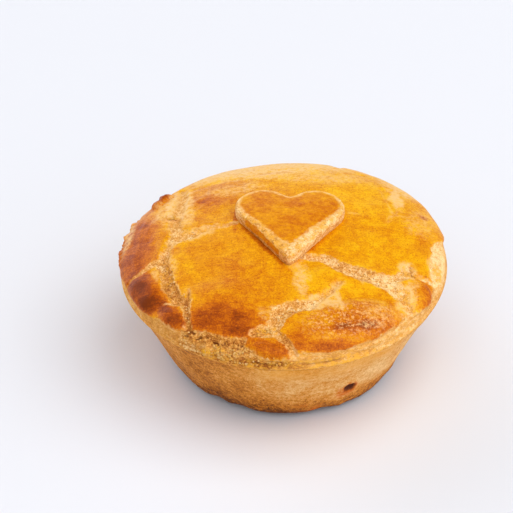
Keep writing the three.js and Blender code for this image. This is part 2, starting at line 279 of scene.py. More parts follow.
@dataclass(frozen=True)
class Dome:
    """The lid's smooth dome, read by places on the crust rolled out flat."""

    mould: Mould = Mould()
    overhang: float = 0.9
    rise: float = 11.0
    squareness: float = 4.2
    round_share: float = 0.35
    lean: float = 0.035
    samples: int = 6000

    @cached_property
    def profile(self) -> tuple[Array, Array, Array]:
        """The dome's section.

        Returns:
            The way along the crust from the middle, and the share of the radius and the rise there.
        """
        turn = np.linspace(math.pi / 2, 0, self.samples)
        reach = np.clip(np.cos(turn), 0, 1) ** (2 / self.squareness)
        shoulder = np.clip(np.sin(turn), 0, 1) ** (2 / self.squareness)
        up = self.rise * ((1 - self.round_share) * shoulder + self.round_share * (1 - reach**2))
        radius = reach * (self.mould.rim_radius + self.overhang)
        way = np.concatenate([[0], np.cumsum(np.hypot(np.diff(radius), np.diff(up)))])
        return way, reach, up

    @property
    def span(self) -> float:
        """Length of the crust from the middle of the lid to its rim."""
        return float(self.profile[0][-1])

    def edge(self, azimuth: Array) -> Array:
        """Returns the lid's outer radius at each azimuth."""
        return self.mould.rim_radius * lobed(azimuth, self.mould.rim_lobes) + self.overhang

    def point(self, x: Array, y: Array) -> Array:
        """Puts places on the rolled-out crust onto the dome.

        Args:
            x: Places to the right of the middle.
            y: Places behind the middle.

        Returns:
            One point for each place, in millimetres.
        """
        way, reach, up = self.profile
        azimuth, along = np.arctan2(y, x), np.minimum(np.hypot(x, y), way[-1])
        share = np.interp(along, way, reach)
        radius = self.edge(azimuth) * share
        leaned = self.lean * radius * np.sin(azimuth) * (1 - share**4)
        return around(radius, azimuth, self.mould.rim_height + np.interp(along, way, up) + leaned)

    def normal(self, x: Array, y: Array, step: float = 0.25) -> Array:
        """Directions that point straight out of the dome.

        Args:
            x: Places to the right of the middle, on the rolled-out crust.
            y: Places behind the middle.
            step: Distance over which the dome's fall is measured.

        Returns:
            One unit direction for each place.
        """
        shrink = np.minimum(1.0, (self.span - 2 * step) / np.maximum(np.hypot(x, y), step))
        u, v = x * shrink, y * shrink
        right = self.point(u + step, v) - self.point(u - step, v)
        back = self.point(u, v + step) - self.point(u, v - step)
        out = np.cross(right, back)
        return out / np.linalg.norm(out, axis=-1, keepdims=True)


# ---- what the oven did to the lid


@dataclass(frozen=True)
class Places:
    """Places on the lid's crust rolled out flat: how far they lie to the right of the middle and
    behind it, and the length of the crust from its middle to the rim.
    """

    x: Array
    y: Array
    span: float

    @cached_property
    def azimuth(self) -> Array:
        """Directions from the middle, in radians."""
        return np.arctan2(self.y, self.x)

    @cached_property
    def degrees(self) -> Array:
        """Directions from the middle, in degrees from 0 to 360."""
        return np.degrees(self.azimuth) % 360

    @cached_property
    def along(self) -> Array:
        """Distances from the middle."""
        return np.hypot(self.x, self.y)

    @cached_property
    def from_rim(self) -> Array:
        """Distances in from the rim."""
        return self.span - self.along

    def grained(self, grain: Grain) -> Array:
        """Returns the height of a grain at the places."""
        return grain.at(self.x, self.y)

    def moved_by(self, right: Grain, back: Grain) -> "Places":
        """Returns the places moved a little to and fro."""
        return Places(self.x + self.grained(right), self.y + self.grained(back), self.span)


@dataclass(frozen=True)
class Split:
    """A split in the glaze: its depth, and a route of (x, y, width) on the rolled-out crust.

    Opened is how much further than its width it is bare, below zero where a thin glaze covers it.
    """

    depth: float
    route: tuple[tuple[float, float, float], ...]
    opened: float = 0.0

    def inside(self, places: Places) -> tuple[Array, Array]:
        """How far places lie inside the split.

        Args:
            places: The places to read.

        Returns:
            The distance in from the split's edge, below zero outside it, and the share of the
            split's full depth there.
        """
        x, y = places.x, places.y
        best, share = np.full_like(x, -1e3), np.zeros_like(x)
        for (x0, y0, width0), (x1, y1, width1) in zip(self.route, self.route[1:]):
            dx, dy = x1 - x0, y1 - y0
            along = np.clip(((x - x0) * dx + (y - y0) * dy) / (dx * dx + dy * dy), 0, 1)
            away = np.hypot(x - x0 - dx * along, y - y0 - dy * along)
            half = (width0 + (width1 - width0) * along) / 2
            best = np.maximum(best, half - away)
            share = np.maximum(share, falling(away, 0.35 * half, 1.25 * half))
        return best, share


@dataclass(frozen=True)
class Oval:
    """An oval place on the rolled-out crust, such as a swollen plate or a browned spot."""

    at: tuple[float, float]
    half: tuple[float, float]
    turn: float
    amount: float = 1.0

    @property
    def axis(self) -> tuple[float, float]:
        """Direction of the oval's first half length."""
        return math.cos(math.radians(self.turn)), math.sin(math.radians(self.turn))

    def reach(self, places: Places) -> Array:
        """How far out of the oval places lie.

        Args:
            places: The places to read.

        Returns:
            0 at the oval's middle and 1 on its outline.
        """
        cos, sin = self.axis
        dx, dy = places.x - self.at[0], places.y - self.at[1]
        return np.hypot((dx * cos + dy * sin) / self.half[0], (dy * cos - dx * sin) / self.half[1])

    def spread(self, places: Places, core: float, end: float) -> Array:
        """Returns the oval's amount, full up to the core's reach and gone at the end's."""
        return self.amount * falling(self.reach(places), core, end)


@dataclass(frozen=True)
class Ovals:
    """Oval places of one kind, each full up to the core's reach and gone at the end's.

    A row holds an oval's middle, its two half lengths, its turn in degrees and its amount.
    """

    core: float
    end: float
    rows: tuple[tuple[float, ...], ...]

    @cached_property
    def all(self) -> tuple[Oval, ...]:
        """The ovals."""
        return tuple(Oval(row[:2], row[2:4], *row[4:]) for row in self.rows)

    def total(self, places: Places) -> Array:
        """Returns the sum of the ovals' amounts."""
        return sum(each.spread(places, self.core, self.end) for each in self.all)

    def most(self, places: Places) -> Array:
        """Returns the largest of the ovals' amounts."""
        return np.maximum.reduce([each.spread(places, self.core, self.end) for each in self.all])


@dataclass(frozen=True)
class CrustMarks:
    """Everything that the oven did to the lid, on the rolled-out crust."""

    splits: tuple[Split, ...] = (
        Split(0.4, ((-28.6, 26, 3), (-29, 15, 4), (-29.3, 8, 4.8), (-29, 1, 4.6), (-31, -6, 2.6)),
            -0.5),
        Split(0.9, ((-31, -6, 2.6), (-31.6, -10, 2.6), (-30.2, -16, 3), (-29, -21, 3),
            (-27.2, -24.4, 2.6), (-25.3, -25.6, 1.6)), 0.1),
        Split(0.5, ((-24.8, -22, 0.5), (-24.6, -26, 1.6), (-24.3, -30, 1.7), (-23.8, -36, 2))),
        Split(0.6, ((-28, 0, 4), (-23.5, 1.5, 3), (-21, 3.4, 1.8), (-13, 4.6, 1.2)), 0.1),
        Split(0.5, ((-32.5, -9, 2), (-36.5, -11.8, 1.2), (-43, -16, 1.0))),
        Split(0.9, ((-7.5, -37.6, 2.6), (-4.5, -37, 4.4), (-2, -34.5, 3.6), (-1.6, -31.4, 4.4),
            (2.5, -29, 3.4), (6.5, -27.6, 3)), 0.1),
        Split(0.6, ((6.5, -27.6, 3), (9.5, -25.5, 2.6), (12.5, -22.6, 2.2), (14.8, -18.5, 1.5)),
            -0.5),
        Split(0.8, ((-2, -37.5, 3), (0.8, -40.5, 2), (2, -44, 2.2)), -0.1),
        Split(0.9, ((4.5, -9.8, 2), (10, -10.6, 3), (15, -13.6, 3.8), (20, -15.8, 4.4),
            (26, -18, 5.2), (30.5, -21.5, 4.2)), 0.3),
        Split(0.7, ((30.5, -21.5, 3), (32.6, -26, 2.4), (34, -31, 2.6)), -0.2),
        Split(0.7, ((28, -17, 3), (31.5, -14, 3.4), (33, -10.5, 2.6)), -0.1),
        Split(0.7, ((33, -13.5, 2), (38, -14, 2.4), (42, -14, 3)), -0.2),
        Split(0.4, ((26, 24, 4), (28, 17, 3), (28.5, 12, 1.5)), -2.5),
        Split(0.16, ((2, 33, 1.8), (-12, 28, 1.8), (-26, 25, 2.5)), -2.5),
        Split(0.3, ((16, 43, 3), (14, 37, 2.4), (20, 31, 1.6)), -2.5),
    )
    # How wide the bare dough at the seam is, by azimuth in degrees.
    bare_rim: tuple[tuple[float, float], ...] = (
        (0, 8.6), (5, 7.6), (9, 4), (16, 2), (30, 1.2), (90, 1.2), (150, 0.8), (180, 0.5), (188, 1),
        (196, 2.8), (205, 2.8), (212, 2.4), (217, 2.8), (223, 4), (231, 4), (235, 5.8), (241, 6.8),
        (250, 7.3), (256, 8.2), (260, 8.2), (265, 6), (270, 4.6), (276, 4.5), (286, 3.9),
        (300, 3.9), (310, 4.4), (318, 5), (325, 3.2), (332, 2.8), (338, 4.4), (343, 7), (349, 8.3),
        (360, 8.6),
    )
    bare_step: float = 0.45
    # Where a broken line runs along the lid's lower edge: first and last azimuth, and its inset.
    # The broken line is cut into the relief and also darkened as painted shade.
    creased: tuple[float, float, float] = (257, 296, 1.15)
    crease_width: float = 0.24
    crease_sway: Grain = Grain(0.45, 4.0, 4, 160.0)
    crease_gaps: Grain = Grain(1.1, 2.4, 2, 170.0)
    # Where the seam has crumbled open: first and last azimuth.
    crumbled: tuple[float, float] = (228, 274)
    pits: Grain = Grain(1.0, 0.95, 2, 130.0)
    pit_depth: float = 0.9
    # Where the heart lies, and how far from there the crust is smooth and where it is fully uneven.
    heart_at: tuple[float, float] = (1.1, 3.0)
    heart_clear: tuple[float, float] = (15, 21)
    swells: Ovals = Ovals(0.45, 1.15, (
        (17, -32, 14, 6.5, 14, 1.1), (-36.5, -19.5, 7, 4.5, -62, 0.8),
        (-28.6, -31, 5.4, 3, -58, 0.6), (-3.6, -42.3, 5, 2, -18, 0.7), (-15, -27, 12, 9, 0, 0.45),
        (37, -19.5, 5.5, 3.2, -60, 0.5), (10.8, -17.5, 4.5, 3.4, -60, 0.35),
    ))
    # How far out of the first swollen plate, the front right one, it is blistered.
    blister_reach: tuple[float, float] = (0.5, 1.1)
    # Browned knobs: x, y, radius and height.
    lumps: tuple[tuple[float, float, float, float], ...] = (
        (-34, 23.4, 2.3, 1.5), (-35.7, 19.2, 1.9, 1.4), (-34.8, 21.4, 1.7, 1.0),
        (-30.6, 9.7, 1.8, 0.7), (-32.4, 9.4, 1, 0.5), (-20, -41, 1.8, 0.9),
        (-16.5, -42.6, 1.6, 0.8),
    )
    # Where a ragged flake stands at the rim: first and last azimuth, and how far from the middle.
    flaky: tuple[float, float, float] = (152, 190, 45.0)
    flake_height: float = 1.1
    flake_width: float = 0.8
    flakes: Grain = Grain(1.3, 1.3, 3, 12.0)
    # Glazed bits of crust left in the bare dough.
    islands: Ovals = Ovals(0.75, 1.1, (
        (-3.8, -42.1, 6.4, 2.9, -27, 1), (-20, -41.4, 1.9, 1.1, 20, 1),
        (-30.4, 9.8, 2.6, 1.1, 10, 1), (-33, -36.2, 1.6, 0.6, -40, 1),
    ))
    # Places where the glaze is thin and mottled, with how far the dough shows through. The rows at
    # the back are partly painted sheen, and the row at (24, -29) on the front right plate a painted
    # highlight.
    thin_glaze_and_sheen: Ovals = Ovals(0.3, 1.3, (
        (4.6, -19, 2.6, 9, 2, 0.66), (3, -13, 3.2, 3, 0, 0.5), (9, -26.4, 6.5, 2.6, 22, 0.95),
        (13.6, -24.5, 1.2, 5, 12, 0.8), (13.2, -21.5, 2, 4, -30, 0.8), (0, -29.5, 5, 2.6, 20, 0.6),
        (-5, -31, 2.6, 3, 0, 0.4), (24, -29, 8, 4.2, 12, 0.4), (12.4, -26, 2.4, 5, 20, 0.75),
        (-33.4, -14, 1.6, 3, 20, 0.5), (-28.6, -25.8, 2.2, 0.7, 8, 0.9), (22, -34, 5, 1.8, 20, 0.4),
        (29.4, 21.5, 2.4, 8.5, 6, 0.95), (27.4, 11, 1.2, 6, 0, 0.4), (30, 11, 6, 1, 6, 0.35),
        (36, 10, 6, 9, 0, 0.42), (17, 9.6, 3.4, 1, 0, 0.4), (-29.5, 14, 4.5, 13, 0, 0.95),
        (-26, 9, 3, 6, 0, 0.6), (-24, 0.5, 6, 3, 10, 0.8), (-34, 14, 4, 8, -10, 0.5),
        (-6, 34, 34, 8, 4, 0.8), (10, 27, 16, 5, 0, 0.5), (-10, 28.6, 14, 1.6, -8, 0.7),
        (-14, 22, 13, 5, 10, 0.5), (30, 28, 10, 6, -45, 0.75), (41, -9, 3.4, 6, 10, 0.9),
        (32.5, -12, 3, 3.4, 0, 0.85), (32.5, -22, 3.4, 8, -14, 0.85), (37, -27, 3, 3, 0, 0.7),
        (-29.5, -12, 3, 7, 8, 0.5), (-25, -24, 2, 5, 0, 0.4), (-43, 8, 2.6, 13, 0, 0.6),
    ))
    # How much browner the glaze is than elsewhere; three rows along the heart's foot are painted
    # shadow.
    browning_and_shade: Ovals = Ovals(0.25, 1.25, (
        (-15, -33.6, 13, 7.4, -10, 0.35), (-14, -26, 16, 12, -8, 0.12),
        (-10.5, -36.6, 3, 2.2, 0, 0.2), (-20.5, -32.5, 3.4, 4, 0, 0.04),
        (-37, -20.5, 9.5, 5.4, -64, 0.36), (-35, -19, 9, 5.4, -64, 0.22),
        (-35.4, -24.6, 3.4, 2.2, -60, 0.32), (-31, -25.6, 4, 2.4, -60, 0.3),
        (-29.4, -29.4, 4.4, 3.8, -58, 0.34), (-27.4, -33, 4.4, 3.4, -58, 0.24),
        (-40.5, 0, 19, 8.4, 88, 0.38), (-39, -8, 8, 6, 88, 0.1), (-38.5, 9, 2.4, 2, 30, 0.2),
        (-3.8, -42.1, 8.4, 4, -27, 0.25), (-1, -43.6, 3, 1.2, -27, 0.08),
        (19, -35, 9, 2.4, 12, 0.16), (14.2, -35.4, 3, 1.5, 10, 0.3), (25, -32.5, 4, 1.4, 30, 0.14),
        (14, -34, 20, 9, 14, 0.14), (2.6, -39, 4, 4, 0, 0.14), (12, -41, 15, 2.6, 5, 0.25),
        (25.5, -36, 10, 2.6, 46, 0.2), (37.8, -20, 7.5, 4.2, -72, 0.2),
        (38.4, -19, 4, 1.8, -78, 0.12), (-35.7, 19.2, 3.4, 2.6, 67, 0.4),
        (-34, 23.4, 3.4, 2.6, 67, 0.5), (-30.4, 9.8, 3.2, 1.8, 10, 0.2),
        # The two rows on the next line and the first row on the line after lie along the heart's
        # foot: painted shadow.
        (-5.6, -5.5, 13, 1.0, -55.6, 0.38), (-13.2, 6, 1.0, 5.5, 0, 0.3),
        (8.2, -5.6, 12, 0.8, 55, 0.2), (-22, 17, 9, 7, 0, 0.14), (-23, 16.5, 1.6, 1.2, 20, 0.25),
        (37, 13, 1.5, 1.2, 0, 0.4), (26.5, 17.4, 2.2, 1.6, 0, 0.24), (-4, 30.6, 6.5, 1.1, -4, 0.26),
        (-8, 35, 3.5, 1.2, 30, 0.22), (-16, 24.6, 9, 2.4, 6, 0.12), (-14, 20, 12, 8, 10, 0.1),
        (-18, -8, 14, 10, 0, 0.05), (-8, -17, 14, 9, 0, 0.06), (20.8, -34, 3.6, 1.8, 14, 0.3),
        (-22, 8, 5, 5, 0, 0.08), (34, 17, 4, 6, 0, 0.08), (27, -5, 14, 9, 0, -0.05),
        (6, -16, 5, 8, 0, -0.08), (37, 1, 2.6, 8, 0, 0.14), (10.5, -17.5, 5, 5, 0, -0.05),
        (22, -30, 8, 4, 12, 0.12), (20, -23, 8, 3, 0, 0.06), (19, -21, 6, 3.6, 0, -0.1),
        (20, 18, 14, 10, 0, -0.12), (0, 32, 34, 9, 0, -0.05),
    ))
    bake_base: float = 0.32
    # How much browner the bare dough is than elsewhere.
    toasted: Ovals = Ovals(0.4, 1.2, (
        (-16, -39, 13, 3, -14, 0.3), (-15, -44.6, 15, 1.8, -18, 0.3), (33, -34, 14, 3, 45, -0.1),
        (-24.6, -29, 2.4, 8, 4, 0.4), (-29.5, -19, 4, 9, 8, 0.32), (-29.5, 14, 5, 14, 0, -0.02),
        (-25, 1.5, 5, 3, 10, -0.06), (10, -10.5, 4, 2.5, -10, -0.2),
        (34, -12.5, 6, 3.5, -10, -0.25), (-34, -32, 9, 4, -45, 0.1), (-6, -36.6, 2.4, 1.4, 0, 0.26),
        (0.5, -40, 2, 3, 20, 0.3), (-3, -46.4, 9, 1.4, -4, 0.34), (0, -47, 7, 1.6, 0, 0.14),
        (-9, -45, 3.4, 1.6, -10, 0.2), (34.4, -12.4, 1.8, 1.3, -30, 0.6), (42, -5, 5, 12, 0, -0.3),
        (27.4, -18.6, 6, 4, -22, -0.28), (7.5, -27.5, 3, 2, 30, -0.3),
    ))
    toast_base: float = 0.34
    toast_rim: float = 0.06
    # Where traces of glaze turn the bare dough yellow.
    yolky: Ovals = Ovals(0.4, 1.3, (
        (2, -46.6, 12, 1.8, 2, 0.16), (14, -45.2, 9, 1.7, 17, 0.35), (10, -44, 18, 3, 10, 0.1),
        (-7, -46, 5, 2, 8, 0.14), (-18, -42, 4, 1.6, 24, 0.4), (41.6, -9, 1.8, 1.8, 0, 0.5),
        (-4, -36, 3, 2, 0, 0.35), (12, -23, 5, 2.4, 55, 0.5), (32, -22, 3, 5, -10, 0.55),
        (34, -12.6, 5, 2, -10, 0.35), (42, -9, 2.4, 4, 0, 0.4), (-22, 3, 6, 2, 10, 0.3),
        (-29.5, -14, 3, 6, 8, 0.25), (20, -43, 10, 2, 30, 0.1), (33, -34, 14, 3, 45, 0.15),
        (-14, -45, 9, 1.6, -18, 0.12),
    ))
    yolk_base: float = 0.22
    # Where the bare dough is smooth.
    unbroken: Ovals = Ovals(0.5, 1.2, (
        (-29, 14, 4.4, 15, 0, 1.0), (-29.4, 1, 4, 5, 0, 0.6), (-18, 4, 8, 2.4, 8, 0.8),
        (42, -2, 5, 12, 0, 0.8), (34, -13, 6, 3, 0, 0.4),
    ))
    sandy_rim: float = 0.42
    # What keeps the splits and the thin places from running straight, and the glaze's edge from
    # being smooth.
    wander: tuple[Grain, Grain] = (Grain(1.1, 7.0, 3, 70.0), Grain(1.1, 7.0, 3, 90.0))
    drift: tuple[Grain, Grain] = (Grain(1.5, 5.0, 3, 24.0), Grain(1.5, 5.0, 3, 28.0))
    ragged: tuple[Grain, Grain] = (Grain(0.5, 2.4), Grain(0.4, 0.9, 2, 5.0))
    # How much of the glaze next to bare dough is broken away.
    broken: Grain = Grain(1.1, 2.6, 3, 44.0)
    broken_share: float = 0.8

    def rim_width(self, places: Places) -> Array:
        """Returns how wide the bare dough at the seam is."""
        return np.interp(places.degrees, *zip(*self.bare_rim))

    def bare(self, places: Places) -> Array:
        """How far places lie inside bare, unglazed dough.

        Args:
            places: The places to read.

        Returns:
            The distance in from the edge of the glaze, below zero under the glaze.
        """
        moved = places.moved_by(*self.wander)
        inside = np.maximum.reduce([each.inside(moved)[0] + each.opened for each in self.splits])
        inside = np.maximum(inside, self.rim_width(places) - places.from_rim)
        for island in self.islands.all:
            inside = np.minimum(inside, (island.reach(places) - 1) * min(island.half))
        return inside + sum(places.grained(each) for each in self.ragged)

    def thin(self, places: Places, bare: Array) -> Array:
        """How far the dough shows through the glaze, and how far painted sheen and a painted
        highlight pale it.

        Args:
            places: The places to read.
            bare: Distance in from the edge of the glaze.

        Returns:
            0 under thick glaze to 1 where it is all but gone.
        """
        faint = self.thin_glaze_and_sheen.most(places.moved_by(*self.drift))
        broken = np.clip(0.5 + places.grained(self.broken), 0, 1)
        return np.maximum(faint, self.broken_share * broken * rising(bare, -0.9, 0.1))

    def open_seam(self, places: Places) -> Array:
        """Returns 1 along the stretch of the seam that has crumbled open and 0 away from it."""
        return between(places.degrees, *self.crumbled, 8)

    def seam_pits(self, places: Places) -> Array:
        """How deep the crumbled stretch of the seam is pitted.

        Args:
            places: The places to read.

        Returns:
            Depth, in millimetres.
        """
        share = places.from_rim / self.rim_width(places)
        band = rising(share, 0.5, 0.72) * falling(share, 1.0, 1.15)
        pits = rising(places.grained(self.pits), 0.24, 0.5)
        return self.pit_depth * self.open_seam(places) * band * pits

    def crease(self, places: Places) -> Array:
        """How deep the broken line lies that runs along the lid's lower edge at the front.

        Args:
            places: The places to read.

        Returns:
            The share of the line's full depth.
        """
        first, last, inset = self.creased
        away = places.from_rim - inset - places.grained(self.crease_sway)
        line = between(places.degrees, first, last, 6) * bell(away, 0, self.crease_width)
        return 0.75 * line * np.clip(0.8 + places.grained(self.crease_gaps), 0, 1)

    def large_relief(self, places: Places) -> Array:
        """The frame's own relief: swells, lumps and slow unevenness, less the splits.

        Args:
            places: The places to read.

        Returns:
            Height over the smooth dome, in millimetres.
        """
        x, y, moved = places.x, places.y, places.moved_by(*self.wander)
        clear = rising(np.hypot(x - self.heart_at[0], y - self.heart_at[1]), *self.heart_clear)
        split = np.maximum.reduce([each.depth * each.inside(moved)[1] for each in self.splits])
        wavering = 0.16 * (unevenness(x, y, 9) + 0.6 * unevenness(x + 40, y, 4.5))
        on_bare = falling(places.from_rim / self.rim_width(places), 0.8, 1.12)
        sunk = on_bare * (self.bare_step + self.seam_pits(places)) * (1 - self.islands.most(places))
        edge = 0.3 + 0.7 * rising(places.from_rim, 0, 1.5)
        raised = clear * (self.swells.total(places) + wavering)
        return edge * (raised - np.maximum(split, sunk)) + self.lump_height(places)

    def lump_height(self, places: Places) -> Array:
        """How high the browned knobs and flakes stand on the crust.

        Args:
            places: The places to read.

        Returns:
            Height, in millimetres.
        """
        height = np.zeros_like(places.x)
        for x, y, radius, top in self.lumps:
            away = np.hypot(places.x - x, places.y - y) / radius
            away = away * (1 + places.grained(Grain(0.35, 1.8, 3, x)))
            knobbly = 1 + places.grained(Grain(0.3, 1.0, 2, y))
            height = np.maximum(height, 0.9 * top * knobbly * np.clip(1 - away**2, 0, 1) ** 0.6)
        first, last, reach = self.flaky
        ragged = np.clip(0.35 + self.flakes.at(places.degrees * 0.75, places.along), 0, 1)
        ragged = ragged * between(places.degrees, first, last, 8)
        ridge = bell(places.along, reach, self.flake_width)
        return np.maximum(height, self.flake_height * ragged * ridge)

    def blistered(self, places: Places) -> Array:
        """Returns how far the front right plate is blistered, from 0 to a little over 1."""
        return self.swells.all[0].spread(places, *self.blister_reach)

    def bake(self, places: Places) -> Array:
        """Returns how brown the glazed crust is, from 0 for yellow to 1 for deep brown."""
        # The browning includes painted shadow at the heart's foot.
        return self.bake_base + self.browning_and_shade.total(places)

    def toast(self, places: Places) -> Array:
        """Returns how brown the bare dough is, from 0 for cream to 1 for brown."""
        at_rim = self.toast_rim * falling(places.from_rim, 0.5, 4.5)
        return self.toast_base + at_rim + self.toasted.total(places)

    def yolk(self, places: Places) -> Array:
        """Returns how yellow traces of glaze turn the bare dough, from 0 to 1."""
        return self.yolk_base + self.yolky.total(places)

    def sandy(self, places: Places) -> Array:
        """How coarse the grain of the bare dough is.

        Args:
            places: The places to read.

        Returns:
            1 in the splits and the crumbled seam, less along the sound rim.
        """
        sound = (1 - 0.6 * self.open_seam(places)) * falling(places.from_rim, 3.5, 7.0)
        sound = np.maximum(sound, self.unbroken.most(places))
        return 1 - (1 - self.sandy_rim) * sound


# ---- meshes


def add_to_scene(name: str, data: bpy.types.ID) -> bpy.types.Object:
    """Makes an object out of a mesh, a light or a camera.

    Args:
        name: The object's name.
        data: What it shows.

    Returns:
        The object, linked to the scene.
    """
    thing = bpy.data.objects.new(name, data)
    bpy.context.scene.collection.objects.link(thing)
    return thing


@dataclass
class Surface:
    """Points, faces and painted values of one piece, before it becomes a mesh."""

    points: Array
    faces: list
    paint: dict[str, Array] = field(default_factory=dict)

    def to_object(self, name: str) -> bpy.types.Object:
        """Makes the Blender object.

        Args:
            name: The piece's name.

        Returns:
            The object, linked to the scene, with its values stored on its points.
        """
        mesh = bpy.data.meshes.new(name)
        mesh.from_pydata((self.points * MM).tolist(), [], self.faces)
        mesh.shade_smooth()
        for layer, values in self.paint.items():
            kind, key = ("FLOAT_VECTOR", "vector") if values.ndim == 2 else ("FLOAT", "value")
            stored = mesh.attributes.new(layer, kind, "POINT")
            stored.data.foreach_set(key, values.astype(np.float32).ravel())
        mesh.update()
        return add_to_scene(name, mesh)


def rolled_disc(rings: int, span: float) -> tuple[Array, Array, list]:
    """A flat disc of triangles of nearly equal size: ring k has 6k points.

    Args:
        rings: Number of rings.
        span: Radius of the outermost ring.

    Returns:
        The x and y of every point, ring by ring from the middle, and the triangles.
    """
    xs, ys, faces = [np.zeros(1)], [np.zeros(1)], []
    for ring in range(1, rings + 1):
        count, azimuth = 6 * ring, turns(6 * ring)
        xs.append(span * ring / rings * np.cos(azimuth))
        ys.append(span * ring / rings * np.sin(azimuth))
        outer, inner = 1 + 3 * ring * (ring - 1), max(0, 1 + 3 * (ring - 1) * (ring - 2))
        inner_count = max(1, 6 * (ring - 1))
        sector, step = np.divmod(np.arange(count), ring)
        here, there = sector * ring + step, sector * (ring - 1) + step
        start = outer + here
        after = outer + (here + 1) % count
        below = inner + there % inner_count
        faces.append(np.stack([start, after, below], -1))
        keep = step + 1 < ring
        faces.append(np.stack([below, after, inner + (there + 1) % inner_count], -1)[keep])
    return np.concatenate(xs), np.concatenate(ys), np.concatenate(faces).tolist()


def ring_faces(first: int, second: int, count: int) -> list:
    """Squares between two rings of points that lie in step.

    Args:
        first: Index of the lower or outer ring's first point.
        second: Index of the other ring's first point.
        count: Points in each ring.

    Returns:
        One face of four points for each step round.
    """
    here = np.arange(count)
    after = (here + 1) % count
    return np.stack([first + here, first + after, second + after, second + here], -1).tolist()


def ringed_surface(points: Array) -> tuple[Array, list]:
    """Closes a stack of rings, bottom to top, with a middle point at each end.

    Args:
        points: Rings by points by three coordinates.

    Returns:
        The points as one list, the bottom's and the top's middle last, and the faces.
    """
    rings, count, _ = points.shape
    faces = []
    for ring in range(rings - 1):
        faces += ring_faces(ring * count, (ring + 1) * count, count)
    here = np.arange(count)
    after = (here + 1) % count
    low, high, top = rings * count, rings * count + 1, (rings - 1) * count
    faces += np.stack([np.full(count, low), after, here], -1).tolist()
    faces += np.stack([np.full(count, high), top + here, top + after], -1).tolist()
    ends = np.stack([points[0].mean(0), points[-1].mean(0)])
    return np.concatenate([points.reshape(-1, 3), ends]), faces


# ---- finishes


@dataclass(frozen=True)
class Pattern:
    """A cloudy pattern: the size of its blotches in millimetres, how much finer it gets and how
    strong the fine part is, the part of its range that is read, and what that part's ends give.
    """

    size: float
    detail: float = 3.0
    rough: float = 0.55
    read: tuple[float, float] = (0.3, 0.7)
    gives: tuple[float, float] = (0.0, 1.0)

    def times(self, factor: float) -> "Pattern":
        """Returns the pattern with all that it gives made stronger or weaker."""
        return replace(self, gives=(factor * self.gives[0], factor * self.gives[1]))


@dataclass(frozen=True)
class Sheen:
    """How pastry takes light: the depth of its fine grain in millimetres, the strength of its
    gloss, the share of light that soaks in, and the pale haze on what turns away.
    """

    grain_depth: float
    specular: float
    scatter: float
    haze: float = 0.0
    haze_roughness: float = 0.4
    haze_tint: Colour = (1.0, 0.92, 0.88)
    scatter_tint: Colour = (1.0, 0.5, 0.2)
    scatter_way: float = 1.5


class NodeBench:
    """Wires up the nodes of one tree."""

    def __init__(self, tree: bpy.types.NodeTree) -> None:
        """Takes the tree to work on."""
        self.tree = tree

    def add(self, kind: str, inputs: dict | None = None, **settings: object) -> bpy.types.Node:
        """Adds a node.

        Args:
            kind: The node's type.
            inputs: Values or sockets for its inputs, by name or number.
            **settings: Properties of the node itself.

        Returns:
            The node.
        """
        node = self.tree.nodes.new(kind)
        for key, value in settings.items():
            setattr(node, key, value)
        for key, value in (inputs or {}).items():
            self.feed(node.inputs[key], value)
        return node

    def feed(self, target: Socket, value: object) -> None:
        """Links a socket to the target, or sets the target to a plain value.

        Args:
            target: The input socket.
            value: A socket, a number or a colour.
        """
        if isinstance(value, Socket):
            self.tree.links.new(value, target)
        elif isinstance(value, tuple) and target.type == "RGBA":
            target.default_value = (*value, 1.0)
        else:
            target.default_value = value

    def noise(self, place: Socket, pattern: Pattern) -> Socket:
        """Returns the noise of a pattern, about 0.5, before a part of its range is read."""
        inputs = {"Vector": place, "Scale": 1 / pattern.size, "Detail": pattern.detail,
                  "Roughness": pattern.rough}
        return self.add("ShaderNodeTexNoise", inputs).outputs["Fac"]

    def read(self, noise: Socket, pattern: Pattern) -> Socket:
        """Returns what a pattern gives for its noise."""
        return self.remap(noise, *pattern.read, *pattern.gives)

    def clouds(self, place: Socket, pattern: Pattern) -> Socket:
        """Returns what a pattern gives at a place."""
        return self.read(self.noise(place, pattern), pattern)

    def remap(self, value: Socket, low: float, high: float, to_low: float = 0.0,
              to_high: float = 1.0) -> Socket:
        """Eases a value from one range into another.

        Args:
            value: The value.
            low: Its lower end.
            high: Its upper end.
            to_low: Result at the lower end.
            to_high: Result at the upper end.

        Returns:
            The eased value.
        """
        inputs = {"Value": value, "From Min": low, "From Max": high,
                  "To Min": to_low, "To Max": to_high}
        node = self.add("ShaderNodeMapRange", inputs, interpolation_type="SMOOTHSTEP")
        return node.outputs["Result"]

    def sum(self, *parts: object) -> Socket:
        """Returns the sum of sockets and numbers."""
        total = parts[0]
        for part in parts[1:]:
            total = self.add("ShaderNodeMath", {0: total, 1: part}, operation="ADD").outputs[0]
        return total

    def times(self, first: object, second: object) -> Socket:
        """Returns the product of two sockets or numbers."""
        return self.add("ShaderNodeMath", {0: first, 1: second}, operation="MULTIPLY").outputs[0]

    def mix(self, share: object, first: object, second: object) -> Socket:
        """Blends two colours.

        Args:
            share: How much of the second colour there is.
            first: The first colour or socket.
            second: The second colour or socket.

        Returns:
            The blended colour.
        """
        node = self.add("ShaderNodeMix", data_type="RGBA")
        self.feed(node.inputs[0], share)
        self.feed(node.inputs[6], first)
        self.feed(node.inputs[7], second)
        return node.outputs[2]


